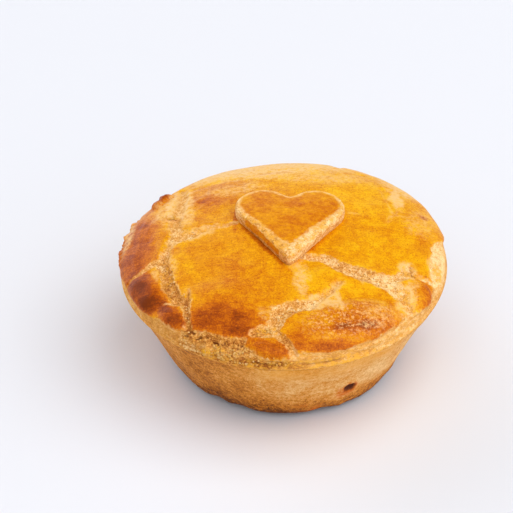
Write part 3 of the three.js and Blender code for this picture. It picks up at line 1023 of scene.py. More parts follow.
class MaterialBench(NodeBench):
    """Wires up one material."""

    def __init__(self, name: str) -> None:
        """Starts an empty material.

        Args:
            name: The material's name.
        """
        self.material = bpy.data.materials.new(name)
        self.material.use_nodes = True
        super().__init__(self.material.node_tree)
        self.shader = self.tree.nodes["Principled BSDF"]

    def painted(self, layer: str) -> Socket:
        """Returns the values that a piece carries on its points."""
        return self.add("ShaderNodeAttribute", attribute_name=layer).outputs["Fac"]

    def place(self, stretch: Triple = (1.0, 1.0, 1.0), layer: str = "") -> Socket:
        """Where on the piece a spot lies, in millimetres.

        Args:
            stretch: Factors along each axis, below 1 to draw a pattern out along it.
            layer: A painted place to use, or nothing for the place in space.

        Returns:
            The place as a vector socket.
        """
        if layer:
            source = self.add("ShaderNodeAttribute", attribute_name=layer).outputs["Vector"]
        else:
            source = self.add("ShaderNodeTexCoord").outputs["Object"]
        scaled = self.add("ShaderNodeVectorMath", {0: source}, operation="MULTIPLY")
        factor = 1.0 if layer else 1 / MM
        scaled.inputs[1].default_value = tuple(factor * part for part in stretch)
        return scaled.outputs[0]

    def ramp(self, value: Socket, stops: Scale) -> Socket:
        """Reads a colour off a scale.

        Args:
            value: Where on the scale.
            stops: Places on the scale and their colours.

        Returns:
            The colour.
        """
        node = self.add("ShaderNodeValToRGB", {"Fac": value})
        elements = node.color_ramp.elements
        while len(elements) < len(stops):
            elements.new(0.5)
        for element, (place, colour) in zip(elements, stops):
            element.position, element.color = place, (*colour, 1.0)
        return node.outputs["Color"]

    def finish(self, colour: object, roughness: object, bump: Socket,
               sheen: Sheen) -> bpy.types.Material:
        """Joins everything to the shader.

        Args:
            colour: Colour of the surface.
            roughness: Roughness of the surface.
            bump: Height of the fine grain, 0 to 1.
            sheen: How the surface takes light.

        Returns:
            The material.
        """
        sockets = self.shader.inputs
        self.feed(sockets["Base Color"], colour)
        self.feed(sockets["Roughness"], roughness)
        sockets["Specular IOR Level"].default_value = sheen.specular
        sockets["Sheen Weight"].default_value = sheen.haze
        sockets["Sheen Roughness"].default_value = sheen.haze_roughness
        sockets["Sheen Tint"].default_value = (*sheen.haze_tint, 1.0)
        sockets["Subsurface Weight"].default_value = sheen.scatter
        sockets["Subsurface Radius"].default_value = sheen.scatter_tint
        sockets["Subsurface Scale"].default_value = sheen.scatter_way * MM
        height = {"Height": bump, "Distance": sheen.grain_depth * MM, "Strength": 1.0}
        self.feed(sockets["Normal"], self.add("ShaderNodeBump", height).outputs["Normal"])
        return self.material


@dataclass(frozen=True)
class BareDough:
    """Baked dough without glaze, as it shows in the splits and on cut edges."""

    scale: Scale = (
        (0.0, srgb(252, 214, 152)),
        (0.35, srgb(226, 163, 83)),
        (0.65, srgb(202, 131, 54)),
        (1.0, srgb(146, 76, 26)),
    )
    pinhole: Colour = srgb(124, 62, 26)
    yolk: Colour = srgb(238, 170, 56)
    mottle: Pattern = Pattern(2.0, 5.0, 0.65, (0.34, 0.66), (-0.24, 0.24))
    fine: Pattern = Pattern(0.5, 3.0, 0.7, (0.34, 0.66), (-0.2, 0.2))
    holes: Pattern = Pattern(0.55, 3.0, 0.6, (0.58, 0.7), (0.0, 0.75))
    yolk_patches: Pattern = Pattern(1.6, 4.0, 0.65, (0.4, 0.62), (0.3, 1.7))
    pores: Pattern = Pattern(0.36, 1.0, read=(0.63, 0.7), gives=(0.0, 0.5))

    def colour(self, bench: MaterialBench, place: Socket) -> Socket:
        """Mottled cream and tan with dark pinholes, browner where the piece is toasted.

        Args:
            bench: The material being wired.
            place: Where on the piece.

        Returns:
            The dough's colour.
        """
        sandy = bench.painted("sandy")
        mottled = bench.clouds(place, self.mottle)
        mottled = bench.times(mottled, bench.remap(sandy, 0.2, 1.0, 0.6, 1.0))
        fine = bench.times(bench.clouds(place, self.fine), sandy)
        dough = bench.ramp(bench.sum(bench.painted("toast"), mottled, fine), self.scale)
        yellow = bench.times(bench.clouds(place, self.yolk_patches), bench.painted("yolk"))
        dough = bench.mix(bench.remap(yellow, 0.1, 1.0, 0.0, 0.85), dough, self.yolk)
        pores = bench.times(bench.clouds(place, self.pores), bench.remap(sandy, 0.3, 1.0, 0.5, 1.0))
        dough = bench.mix(pores, dough, self.pinhole)
        return bench.mix(bench.times(bench.clouds(place, self.holes), sandy), dough, self.pinhole)


@dataclass(frozen=True)
class EggGlaze:
    """Egg wash baked to a half gloss, from yellow over gold and orange to deep brown."""

    scale: Scale = (
        (0.0, srgb(240, 186, 20)),
        (0.2, srgb(233, 165, 3)),
        (0.38, srgb(219, 138, 1)),
        (0.58, srgb(199, 103, 1)),
        (0.78, srgb(163, 71, 1)),
        (1.0, srgb(116, 46, 1)),
    )
    # Pale pink of thin glaze; it also paints the sheen at the back and a highlight on the front
    # right plate.
    thin: Colour = srgb(237, 190, 120)
    # Pale flecks on the blistered plate are painted glints of light.
    painted_glint: Colour = srgb(248, 192, 124)
    speck: Colour = srgb(152, 68, 6)
    gloss: float = 0.36
    dull: float = 0.82
    sheen: Sheen = Sheen(0.2, 0.1, 0.06, 0.01)
    # How strongly the glaze is streaked and speckled.
    speckled: float = 1.0
    torn: Pattern = Pattern(0.8, 4.0, 0.6)
    strokes: Pattern = Pattern(0.8, 3.0, gives=(-0.035, 0.035))
    # Factors on the place that draw the brush strokes out from left to right.
    stroke_stretch: Triple = (0.16, 1.0, 1.0)
    grain_stretch: Triple = (1.0, 1.0, 1.8)
    cloudy: Pattern = Pattern(5.0, 4.0, gives=(-0.08, 0.08))
    blotches: Pattern = Pattern(2.2, 4.0, 0.6, gives=(-0.075, 0.075))
    mottle: Pattern = Pattern(0.9, 4.0, 0.6, gives=(-0.075, 0.075))
    freckles: Pattern = Pattern(0.4, 2.0, 0.6, gives=(-0.1, 0.1))
    specks: Pattern = Pattern(0.4, 1.0, read=(0.64, 0.74))
    thin_patches: Pattern = Pattern(1.3, 5.0, 0.7, gives=(0.3, 1.5))
    burst: Pattern = Pattern(0.6, 2.0, 0.7, (0.56, 0.66), (0.0, 0.5))
    glint_flecks: Pattern = Pattern(0.9, 5.0, 0.7, (0.48, 0.63), (0.0, 0.6))
    fine: Pattern = Pattern(0.45, 3.0, 0.6)

    def browning_and_shade(self, bench: MaterialBench, rolled: Socket,
                strokes: Socket, mottled: Socket) -> Socket:
        """The glaze's colour over sound crust, with brush marks and specks, and painted shadow at
        the heart's foot.

        Args:
            bench: The material being wired.
            rolled: Where on the rolled-out crust.
            strokes: Noise of the brush strokes.
            mottled: Noise of the fine mottling.

        Returns:
            The colour.
        """
        bake = bench.sum(
            bench.painted("bake"),
            bench.times(bench.painted("thin"), -0.16),
            bench.clouds(rolled, self.cloudy),
            bench.read(strokes, self.strokes.times(self.speckled)),
            bench.clouds(rolled, self.blotches),
            bench.read(mottled, self.mottle),
            bench.clouds(rolled, self.freckles.times(self.speckled)),
        )
        specks = bench.times(bench.clouds(rolled, self.specks), 0.6 * self.speckled)
        return bench.mix(specks, bench.ramp(bake, self.scale), self.speck)

    def worn(self, bench: MaterialBench, glaze: Socket, rolled: Socket,
             space: Socket) -> Socket:
        """Lets the dough show through thin glaze, with painted sheen and highlight, and marks
        blisters with specks and painted glints.

        Args:
            bench: The material being wired.
            glaze: The glaze's colour over sound crust.
            rolled: Where on the rolled-out crust.
            space: Where in space.

        Returns:
            The colour.
        """
        thin = bench.times(bench.painted("thin"), bench.clouds(rolled, self.thin_patches))
        glaze = bench.mix(bench.remap(thin, 0.12, 0.95, 0.0, 0.9), glaze, self.thin)
        blistered = bench.painted("blister")
        burst = bench.times(bench.clouds(rolled, self.burst), blistered)
        # Painted glints on the blistered plate.
        glint_flecks = bench.times(bench.clouds(space, self.glint_flecks), blistered)
        return bench.mix(glint_flecks, bench.mix(burst, glaze, self.speck), self.painted_glint)

    def material(self, name: str, dough: BareDough, layer: str) -> bpy.types.Material:
        """Glaze over dough, parted where the piece says that it is bare.

        Args:
            name: The material's name.
            dough: The dough under the glaze.
            layer: The painted place that brush marks follow.

        Returns:
            The material.
        """
        bench = MaterialBench(name)
        rolled, space = bench.place(layer=layer), bench.place(self.grain_stretch)
        torn = bench.times(bench.sum(bench.noise(rolled, self.torn), -0.5), 1.5)
        parted = bench.remap(bench.sum(bench.painted("bare"), torn), -0.3, 0.35)
        strokes = bench.noise(bench.place(self.stroke_stretch, layer), self.strokes)
        mottled = bench.noise(rolled, self.mottle)
        glaze = self.worn(bench, self.browning_and_shade(bench, rolled, strokes, mottled), rolled, space)
        colour = bench.mix(parted, glaze, dough.colour(bench, space))
        # Painted shade: sunk pits and the crease are darkened towards the pinhole colour.
        pits = bench.times(bench.remap(bench.painted("pit_shade"), 0.0, 1.0), 0.7)
        colour = bench.mix(pits, colour, dough.pinhole)
        shine = bench.remap(mottled, 0.3, 0.7, self.gloss - 0.05, self.gloss + 0.1)
        shares = {0: parted, 2: shine, 3: self.dull}
        roughness = bench.add("ShaderNodeMix", shares, data_type="FLOAT")
        crumb = bench.times(bench.remap(parted, 0.0, 1.0, 0.35, 1.0), bench.noise(space, self.fine))
        bump = bench.sum(crumb, bench.times(strokes, 0.35))
        return bench.finish(colour, roughness.outputs[0], bump, self.sheen)


@dataclass(frozen=True)
class WallCrust:
    """The plain pastry of the case, baked against a mould: matt and tan with browner patches."""

    scale: Scale = (
        (0.0, srgb(248, 204, 142)),
        (0.3, srgb(228, 172, 100)),
        (0.55, srgb(214, 138, 46)),
        (0.8, srgb(172, 98, 24)),
        (1.0, srgb(102, 52, 14)),
    )
    # Dark brown of the burnt burst, and of the foot, where it is partly painted contact shade.
    scorch_and_foot_shade: Colour = srgb(84, 38, 18)
    leaked: Colour = srgb(212, 106, 20)
    yolk: Colour = srgb(236, 160, 52)
    roughness: float = 0.7
    sheen: Sheen = Sheen(0.16, 0.14, 0.06)
    streaks: Pattern = Pattern(2.4, 4.0, 0.6, gives=(-0.06, 0.06))
    streak_stretch: Triple = (0.6, 0.6, 1.6)
    clouds: Pattern = Pattern(9.0, 3.0, gives=(-0.12, 0.12))
    mottle: Pattern = Pattern(1.1, 4.0, 0.65, gives=(-0.15, 0.15))
    freckles: Pattern = Pattern(0.4, 2.0, 0.6, gives=(-0.13, 0.13))
    pores: Pattern = Pattern(0.4, 1.0, read=(0.68, 0.78))
    fine: Pattern = Pattern(0.5, 3.0, 0.6)

    def material(self, name: str) -> bpy.types.Material:
        """Streaked and mottled pastry with what has leaked and burnt on it, and painted shade at
        its foot.

        Args:
            name: The material's name.

        Returns:
            The material.
        """
        bench = MaterialBench(name)
        place = bench.place()
        streaks = bench.noise(bench.place(self.streak_stretch), self.streaks)
        bake = bench.sum(
            bench.painted("bake"),
            bench.clouds(place, self.clouds),
            bench.read(streaks, self.streaks),
            bench.clouds(place, self.mottle),
            bench.clouds(place, self.freckles),
        )
        pores = bench.times(bench.clouds(place, self.pores), 0.5)
        colour = bench.mix(pores, bench.ramp(bake, self.scale), self.scale[-1][1])
        paints = {"yolk": self.yolk, "leaked": self.leaked, "scorch_and_foot_shade": self.scorch_and_foot_shade}
        for layer, paint in paints.items():
            colour = bench.mix(bench.painted(layer), colour, paint)
        bump = bench.sum(bench.noise(place, self.fine), bench.times(streaks, 0.4))
        return bench.finish(colour, self.roughness, bump, self.sheen)


@dataclass(frozen=True)
class LooseCrumb:
    """Crumbs of dough, some with a little glaze on them."""

    scale: Scale = (
        (0.0, srgb(236, 190, 122)),
        (0.35, srgb(224, 168, 88)),
        (0.7, srgb(228, 162, 56)),
        (1.0, srgb(184, 104, 34)),
    )
    roughness: float = 0.75
    sheen: Sheen = Sheen(0.1, 0.3, 0.1)
    mottle: Pattern = Pattern(0.6, 3.0, 0.6, gives=(-0.25, 0.25))
    fine: Pattern = Pattern(0.3, 2.0)

    def material(self, name: str) -> bpy.types.Material:
        """Mottled dough.

        Args:
            name: The material's name.

        Returns:
            The material.
        """
        bench = MaterialBench(name)
        place = bench.place()
        bake = bench.sum(bench.painted("bake"), bench.clouds(place, self.mottle))
        colour = bench.ramp(bake, self.scale)
        return bench.finish(colour, self.roughness, bench.noise(place, self.fine), self.sheen)


# ---- the pieces


def claim(piece: bpy.types.Object, slot: Slot, material: bpy.types.Material,
          *nodes: str) -> bpy.types.Object:
    """Dresses a piece and ties it to the frame.

    Args:
        piece: The piece.
        slot: The record's slot that its finish belongs to; not used.
        material: Its material.
        *nodes: The frame's nodes that it stands for.

    Returns:
        The piece.
    """
    piece.data.materials.append(material)
    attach(piece, BODY)
    if nodes:
        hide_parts(*nodes)
    return piece


@dataclass
class PastryLid:
    """The domed lid: a cracked egg glaze over crumbly dough."""

    dome: Dome
    marks: CrustMarks
    rings: int = 170
    # The rounded lower edge: how far it drops and tucks in, and the shares of its turn with a ring.
    tuck_drop: float = 0.5
    tuck_inset: float = 0.7
    tuck_rings: tuple[float, ...] = (0.35, 0.7, 1.0)
    seat_inset: float = 4.0
    glaze_skin: float = 0.16
    glaze_lip: float = 0.05
    chunks: Lumpiness = Lumpiness(1.5, 0.2, 0.28, 0.45)
    chunk_sway: Grain = Grain(0.3, 1.0, 2, 3.0)
    bits: Lumpiness = Lumpiness(0.8, 0.11, 0.16, 0.4)
    bit_sway: Grain = Grain(0.2, 0.8, 2, 6.0)
    dough_grain: Grain = Grain(0.1, 2.2, 2, 3.0)
    holes: Grain = Grain(1.0, 0.95, 2, 21.0)
    hole_depth: float = 0.45
    layers: Grain = Grain(0.2, 0.9, 2, 14.0)
    blister_size: float = 1.25
    blister_height: float = 0.12
    blister_sway: Grain = Grain(0.5, 1.2, 2, 40.0)
    wrinkles: Grain = Grain(0.2, 2.2, 3, 50.0)
    # The azimuth at the left, in radians, around which the glaze has no wrinkles.
    unwrinkled: float = 2.9
    skin: Grain = Grain(0.035, 2.4, 3, 60.0)
    brushed: Grain = Grain(0.05, 5.0, 2, 65.0)
    crease_depth: float = 0.3

    def crumb(self, places: Places) -> Array:
        """The relief of the bare dough: crumb, pinholes and, along the sound rim, fine layers.

        Args:
            places: The places to read.

        Returns:
            Height, in millimetres.
        """
        x, y, open_seam = places.x, places.y, self.marks.open_seam(places)
        smooth_rim = (1 - open_seam) * falling(places.from_rim, 3.0, 6.0)
        crumbled = open_seam * falling(places.from_rim, 8, 10)
        chunks = self.chunks.at(x + self.chunk_sway.at(x, y), y)
        bits = self.bits.at(x, y + self.bit_sway.at(x, y))
        holes = -self.hole_depth * rising(self.holes.at(x, y), 0.38, 0.7) * (1 - 0.5 * crumbled)
        crumb = (1 - 0.8 * smooth_rim) * (self.dough_grain.at(x, y) + bits + holes)
        layers = smooth_rim * self.layers.at(places.azimuth * 5, places.from_rim)
        return crumb + crumbled * (chunks + 0.6 * bits) + layers

    def glaze_relief(self, places: Places) -> Array:
        """The relief of the glaze between the splits: a fine skin, and blisters at the front right.

        Args:
            places: The places to read.

        Returns:
            Height, in millimetres.
        """
        x, y, plate = places.x, places.y, self.marks.swells.all[0]
        away, level = pebbles(x + self.blister_sway.at(x, y), y, self.blister_size)
        bubble = self.blister_height * (0.5 + level) * (1 - np.minimum(1, away * 1.3) ** 2)
        blisters = self.marks.blistered(places) / plate.amount * (bubble - 0.04)
        return self.skin.at(x, y) + self.brushed.at(x * 0.5, y) + blisters

    def fine_relief(self, places: Places, bare: Array) -> Array:
        """All relief that is finer than the frame's own.

        Args:
            places: The places to read.
            bare: Distance in from the edge of the glaze.

        Returns:
            Height to add to the large relief, in millimetres.
        """
        bared = rising(bare, -0.25, 0.5)
        edge = self.glaze_lip * bell(bare, -0.6, 0.5)
        edge = edge - self.glaze_skin * rising(bare, -0.4, 0.35)
        on_left = rising(-np.cos(places.azimuth - self.unwrinkled), -0.95, -0.6)
        wrinkled = (1 - on_left) * rising(places.along, 18, 30)
        wrinkles = wrinkled * self.wrinkles.at(places.azimuth * 7, places.along)
        crease = self.crease_depth * self.marks.crease(places)
        relief = bared * self.crumb(places) + (1 - bared) * self.glaze_relief(places)
        return edge + relief + wrinkles - crease

    def underside(self) -> list[Array]:
        """The rings of the rounded lower edge and of the flat underside.

        Returns:
            Rings of points from the rim inward.
        """
        azimuth, top = turns(6 * self.rings), self.dome.mould.rim_height
        edge = self.dome.edge(azimuth)
        rings = []
        for share in self.tuck_rings:
            turn = share * math.pi / 2
            inset, drop = self.tuck_inset * (1 - math.cos(turn)), self.tuck_drop * math.sin(turn)
            rings.append(around(edge - inset, azimuth, top - drop))
        return rings + [around(edge - self.seat_inset, azimuth, top - self.tuck_drop)]

    def paint(self, places: Places, bare: Array, fine: Array) -> dict[str, tuple]:
        """What the finishes read off the crust.

        Args:
            places: The places to read.
            bare: Distance in from the edge of the glaze.
            fine: The fine relief.

        Returns:
            For each layer its values on the crust, and its value on the underside.
        """
        marks = self.marks
        # Painted shade in the sunk pits of the crumbled seam and along the crease.
        pit_shade = rising(marks.seam_pits(places) - 0.5 * fine, 0.3, 0.8) * rising(bare, 0, 0.5)
        return {
            "bare": (bare, 3.0),
            "bake": (marks.bake(places), 0.4),
            "thin": (marks.thin(places, bare), 0.0),
            "toast": (marks.toast(places), 0.42),
            "pit_shade": (np.maximum(pit_shade, marks.crease(places)), 0.0),
            "blister": (np.clip(marks.blistered(places), 0, 1), 0.0),
            "sandy": (marks.sandy(places), 0.3),
            "yolk": (marks.yolk(places), 0.3),
        }

    def surface(self) -> Surface:
        """Builds the lid's top, its rounded lower edge and its flat underside.

        Returns:
            The lid's surface.
        """
        x, y, faces = rolled_disc(self.rings, self.dome.span)
        places = Places(x, y, self.dome.span)
        bare = self.marks.bare(places)
        fine = self.fine_relief(places, bare)
        relief = self.marks.large_relief(places) + rising(places.from_rim, 0.0, 0.8) * fine
        top = self.dome.point(x, y) + self.dome.normal(x, y) * relief[:, None]
        rings, count = self.underside(), 6 * self.rings
        first = len(x) - count
        for ring in range(len(rings)):
            second = len(x) + ring * count
            faces += ring_faces(second, first, count)
            first = second
        middle, here = np.full(count, len(x) + len(rings) * count), np.arange(count)
        faces += np.stack([middle, first + (here + 1) % count, first + here], -1).tolist()
        seat = [[0, 0, self.dome.mould.rim_height - self.tuck_drop]]
        points = np.concatenate([top, *rings, seat])
        below = len(points) - len(x)
        paint = {layer: np.append(values, np.full(below, under))
                 for layer, (values, under) in self.paint(places, bare, fine).items()}
        rolled = np.stack([x, y], -1)
        rolled = np.concatenate([rolled, *([rolled[-count:]] * len(rings)), [[0, 0]]])
        paint["rolled"] = np.concatenate([rolled, np.zeros((len(rolled), 1))], -1)
        return Surface(points, faces, paint)

    def build(self, glaze: EggGlaze, dough: BareDough) -> bpy.types.Object:
        """Makes the lid, glazed on top and of bare dough where the glaze has split."""
        finish = glaze.material("egg_glaze", dough, "rolled")
        return claim(self.surface().to_object("glazed_lid"), Slot.GLAZED, finish, "pastry_lid")


@dataclass(frozen=True)
class WallPlaces:
    """Places on the case's wall: azimuth in degrees, height over the table, and how far they lie
    from the burst, 0 in its middle and 1 on its outline.
    """

    degrees: Array
    height: Array
    leak: Array
    mean_radius: float = 36.0

    @cached_property
    def azimuth(self) -> Array:
        """Directions from the axis, in radians."""
        return np.radians(self.degrees)

    @cached_property
    def way(self) -> Array:
        """Ways round the wall, in millimetres."""
        return self.azimuth * self.mean_radius

    def grained(self, grain: Grain) -> Array:
        """Returns the height of a grain at the places."""
        return grain.at(self.way, self.height)


@dataclass
class PastryCase:
    """The tapered case with its worn base edge and the burnt burst in its wall."""

    mould: Mould
    lid_drop: float = 0.52
    sides: int = 720
    corner_rings: int = 30
    wall_rings: int = 66
    base_rings: int = 24
    lining_share: float = 0.93
    # Where the edge of the base is lifted: azimuth, half the angle that it takes, and height.
    nicks: tuple[tuple[float, float, float], ...] = (
        (234, 9, 0.8), (249, 10, 0.9), (291, 8, 0.7), (331, 11, 0.5), (30, 12, 0.7), (118, 12, 0.8),
    )
    leak_azimuth: float = 299.5
    leak_height: float = 11.3
    leak_half: tuple[float, float] = (1.35, 2.0)
    leak_turn: float = 24
    leak_depth: float = 0.8
    leak_lip: float = 0.25
    leak_edge: Grain = Grain(0.4, 1.1, 3, 27.0)
    # How far the ring of leaked juice is moved off the burst, in degrees and in millimetres.
    leak_run: tuple[float, float] = (1.6, 1.4)
    # Where the wall swells against the lid: first and last azimuth.
    sealed: tuple[float, float] = (248, 358)
    seal_swell: float = 0.5
    worn: Grain = Grain(1.0, 2.2, 4, 11.0)
    pores: Grain = Grain(1.0, 0.9, 2, 33.0)
    pore_depth: float = 0.18
    folds: Grain = Grain(0.14, 1.6, 3, 61.0)
    dents: Grain = Grain(0.1, 5.0, 2, 71.0)
    # Paler and browner stretches of the wall; left and right are partly painted shade and light.
    bake_base: float = 0.47
    front: Stretch = (280, 12, 40)
    pale: Stretch = (274, 8, 30)
    left: Stretch = (230, 14, 42)
    right: Stretch = (322, 18, 42)
    turned: Stretch = (252, 8, 20)
    clean: Stretch = (276, 5, 13)
    stained: Stretch = (282, 3, 9)
    rubbed: Stretch = (288, 14, 44)
    juice: Grain = Grain(0.6, 1.0, 3, 55.0)
    stain: Grain = Grain(1.4, 2.4, 3, 57.0)
    rub: Grain = Grain(0.45, 5.0, 3, 81.0)
    foot: Grain = Grain(1.0, 6.0, 3, 91.0)

    def heights(self) -> Array:
        """Heights of the rings up the corner and the wall.

        Returns:
            The heights, from the table up.
        """
        turn = np.linspace(0, math.pi / 2 - self.mould.slope, self.corner_rings)
        corner = self.mould.base_corner * (1 - np.cos(turn))
        top = self.mould.rim_height - self.lid_drop
        wall = np.linspace(self.mould.corner_top, top, self.wall_rings + 1)[1:]
        return np.concatenate([corner, wall])

    def nick_lift(self, degrees: Array) -> Array:
        """How far the edge of the base is lifted.

        Args:
            degrees: Azimuths.

        Returns:
            The lift at each azimuth, in millimetres.
        """
        lift = np.zeros_like(degrees)
        for middle, half, height in self.nicks:
            away = np.abs((degrees - middle + 540) % 360 - 180)
            lift = np.maximum(lift, height * falling(away, 0, half))
        return lift

    def leak_reach(self, degrees: Array, height: Array) -> Array:
        """How far places on the wall lie from the burst.

        Args:
            degrees: Their azimuth.
            height: Their height.

        Returns:
            0 in the burst's middle and 1 on its outline.
        """
        radius = float(self.mould.wall_radius(np.array(self.leak_height), np.array(0.0)))
        across = np.radians(degrees - self.leak_azimuth) * radius
        up = (height - self.leak_height) / math.cos(self.mould.slope)
        cos, sin = math.cos(math.radians(self.leak_turn)), math.sin(math.radians(self.leak_turn))
        lengthwise = (across * cos + up * sin) / self.leak_half[0]
        crosswise = (up * cos - across * sin) / self.leak_half[1]
        return np.hypot(lengthwise, crosswise) * (1 + self.leak_edge.at(across, up))

    def relief(self, places: WallPlaces) -> Array:
        """How far the wall stands out of the mould's own form.

        Args:
            places: The places to read.

        Returns:
            Height, in millimetres.
        """
        degrees, height, way = places.degrees, places.height, places.way
        off_table = rising(height, 0, 3)
        wavering = 0.3 * unevenness(degrees, height * 1.5, 12) * off_table
        wear = rising(height, 0, 0.8) * (0.05 + 0.16 * falling(height, 2.0, 7.0))
        pores = rising(places.grained(self.pores), 0.5, 0.75) * rising(height, 0, 1)
        burst = self.leak_lip * bell(places.leak, 1.5, 0.45)
        burst = burst - self.leak_depth * falling(places.leak, 0.5, 1.25)
        folds = rising(height, 17, 24) * self.folds.at(way * 0.3, height)
        dents = places.grained(self.dents) * off_table
        sealed = between(degrees, *self.sealed, 14) * rising(height, 20, 27)
        return (wavering + wear * self.worn.at(way, height * 1.2) - self.pore_depth * pores + burst
                + folds + dents + self.seal_swell * sealed)

    def wall(self, places: WallPlaces) -> Array:
        """The corner and the wall.

        Args:
            places: The places to build, ring by ring from the table up.

        Returns:
            Their points.
        """
        height, slope = places.height, self.mould.slope
        raised = np.where(height > 0, self.nick_lift(places.degrees), 0)
        raised = raised * falling(height, 1.5, self.mould.corner_top + 3)
        out = self.relief(places)
        radius = self.mould.wall_radius(height, places.azimuth) - 0.3 * raised
        radius = radius + out * math.cos(slope)
        z = height + 0.5 * raised - out * math.sin(slope) * rising(height, 0, 2)
        return around(radius, places.azimuth, z)

    def leaked(self, places: WallPlaces) -> Array:
        """How much juice has run over the wall.

        Args:
            places: The places to read.

        Returns:
            0 where the wall is clean to 1.
        """
        aside, up = self.leak_run
        halo = falling(self.leak_reach(places.degrees + aside, places.height + up), 0.9, 2.2)
        stain = close_to(places.degrees, *self.stained) * close_to(places.height, 4.6, 1, 3)
        stain = 0.75 * stain * np.clip(0.3 + places.grained(self.stain), 0, 1)
        halo = halo * (0.75 + places.grained(self.juice))
        return np.clip(np.maximum.reduce([halo, falling(places.leak, 1.2, 1.9), stain]), 0, 1)

    def bake(self, degrees: Array, height: Array) -> Array:
        """How brown the wall is, with painted shade and light on it.

        Args:
            degrees: Azimuth of places on the wall.
            height: Their height.

        Returns:
            0 for pale to 1 for brown.
        """
        low = falling(height, 2.0, 13.0)
        front, right = close_to(degrees, *self.front), close_to(degrees, *self.right)
        # Painted shade: the wall's top is darker under the lid's lip, except at the front and
        # right.
        rim = rising(height, 22, 27) * (1 - front) * (1 - right)
        pale = close_to(degrees, *self.pale) * close_to(height, 16, 3, 8)
        turned = close_to(degrees, *self.turned) * falling(height, 8, 20)
        clean = close_to(degrees, *self.clean) * close_to(height, 7.5, 2, 5)
        uneven = low * self.foot.at(np.radians(degrees) * 30, height * 1.6)
        # Darker at the foot, partly browning and partly painted contact shade; browner on the left
        # and paler on the right, partly painted shade and light from the key on the right.
        edge, left = falling(height, 0.8, 3.4), close_to(degrees, *self.left)
        return (self.bake_base + 0.3 * low + 0.3 * edge + 0.1 * rim - 0.04 * pale + 0.15 * left
                - 0.17 * right * rising(height, 4, 14)
                + 0.13 * turned - 0.1 * clean + 0.1 * uneven)

    def paint(self, places: WallPlaces, z: Array) -> dict[str, tuple]:
        """What the finish reads off the case.

        Args:
            places: The places to read.
            z: The height of the points there.

        Returns:
            For each layer its value on the underside, its values on the wall, and its values on the
            lining and on the two middle points.
        """
        # The foot is partly burnt and partly painted contact shade.
        burnt_and_shaded_foot = 0.8 * falling(places.height, 0.3, 1.7)
        scorch_and_foot_shade = np.maximum(falling(places.leak, 0.9, 1.45), burnt_and_shaded_foot)
        rubbed = close_to(places.degrees, *self.rubbed) * rising(places.height, 18, 25)
        return {
            "bake": (0.62, self.bake(places.degrees, z), 0.5, 0.6),
            "leaked": (0.0, self.leaked(places), 0.0, 0.0),
            "yolk": (0.0, rubbed * (0.55 + places.grained(self.rub)), 0.0, 0.0),
            "scorch_and_foot_shade": (0.0, scorch_and_foot_shade, 0.0, 0.0),
        }

    def surface(self) -> Surface:
        """Builds the underside, the corner, the wall and the top that the lid lies on.

        Returns:
            The case's surface.
        """
        azimuth = turns(self.sides)
        degrees, height = np.meshgrid(np.degrees(azimuth), self.heights())
        places = WallPlaces(degrees, height, self.leak_reach(degrees, height))
        wall = self.wall(places)
        foot = self.mould.wall_radius(np.array(0.0), azimuth)
        base = [around(share * foot, azimuth, 0.0)
                for share in np.linspace(0.04, 1.0, self.base_rings, endpoint=False)]
        lining = wall[-1] * np.array([self.lining_share, self.lining_share, 1.0])
        points, faces = ringed_surface(np.concatenate([np.stack(base), wall, lining[None]]))
        paint = {}
        for layer, values in self.paint(places, wall[..., 2]).items():
            under, on_wall, lined, middle = values
            base_values = np.full(self.base_rings * self.sides, under)
            lining_values = np.append(np.full(self.sides, lined), [middle, middle])
            paint[layer] = np.concatenate([base_values, on_wall.ravel(), lining_values])
        return Surface(points, faces, paint)

    def build(self, crust: WallCrust) -> bpy.types.Object:
        """Makes the case and dresses it in its crust."""
        piece = self.surface().to_object("baked_case")
        return claim(piece, Slot.BAKED, crust.material("wall_crust"), "pastry_case")


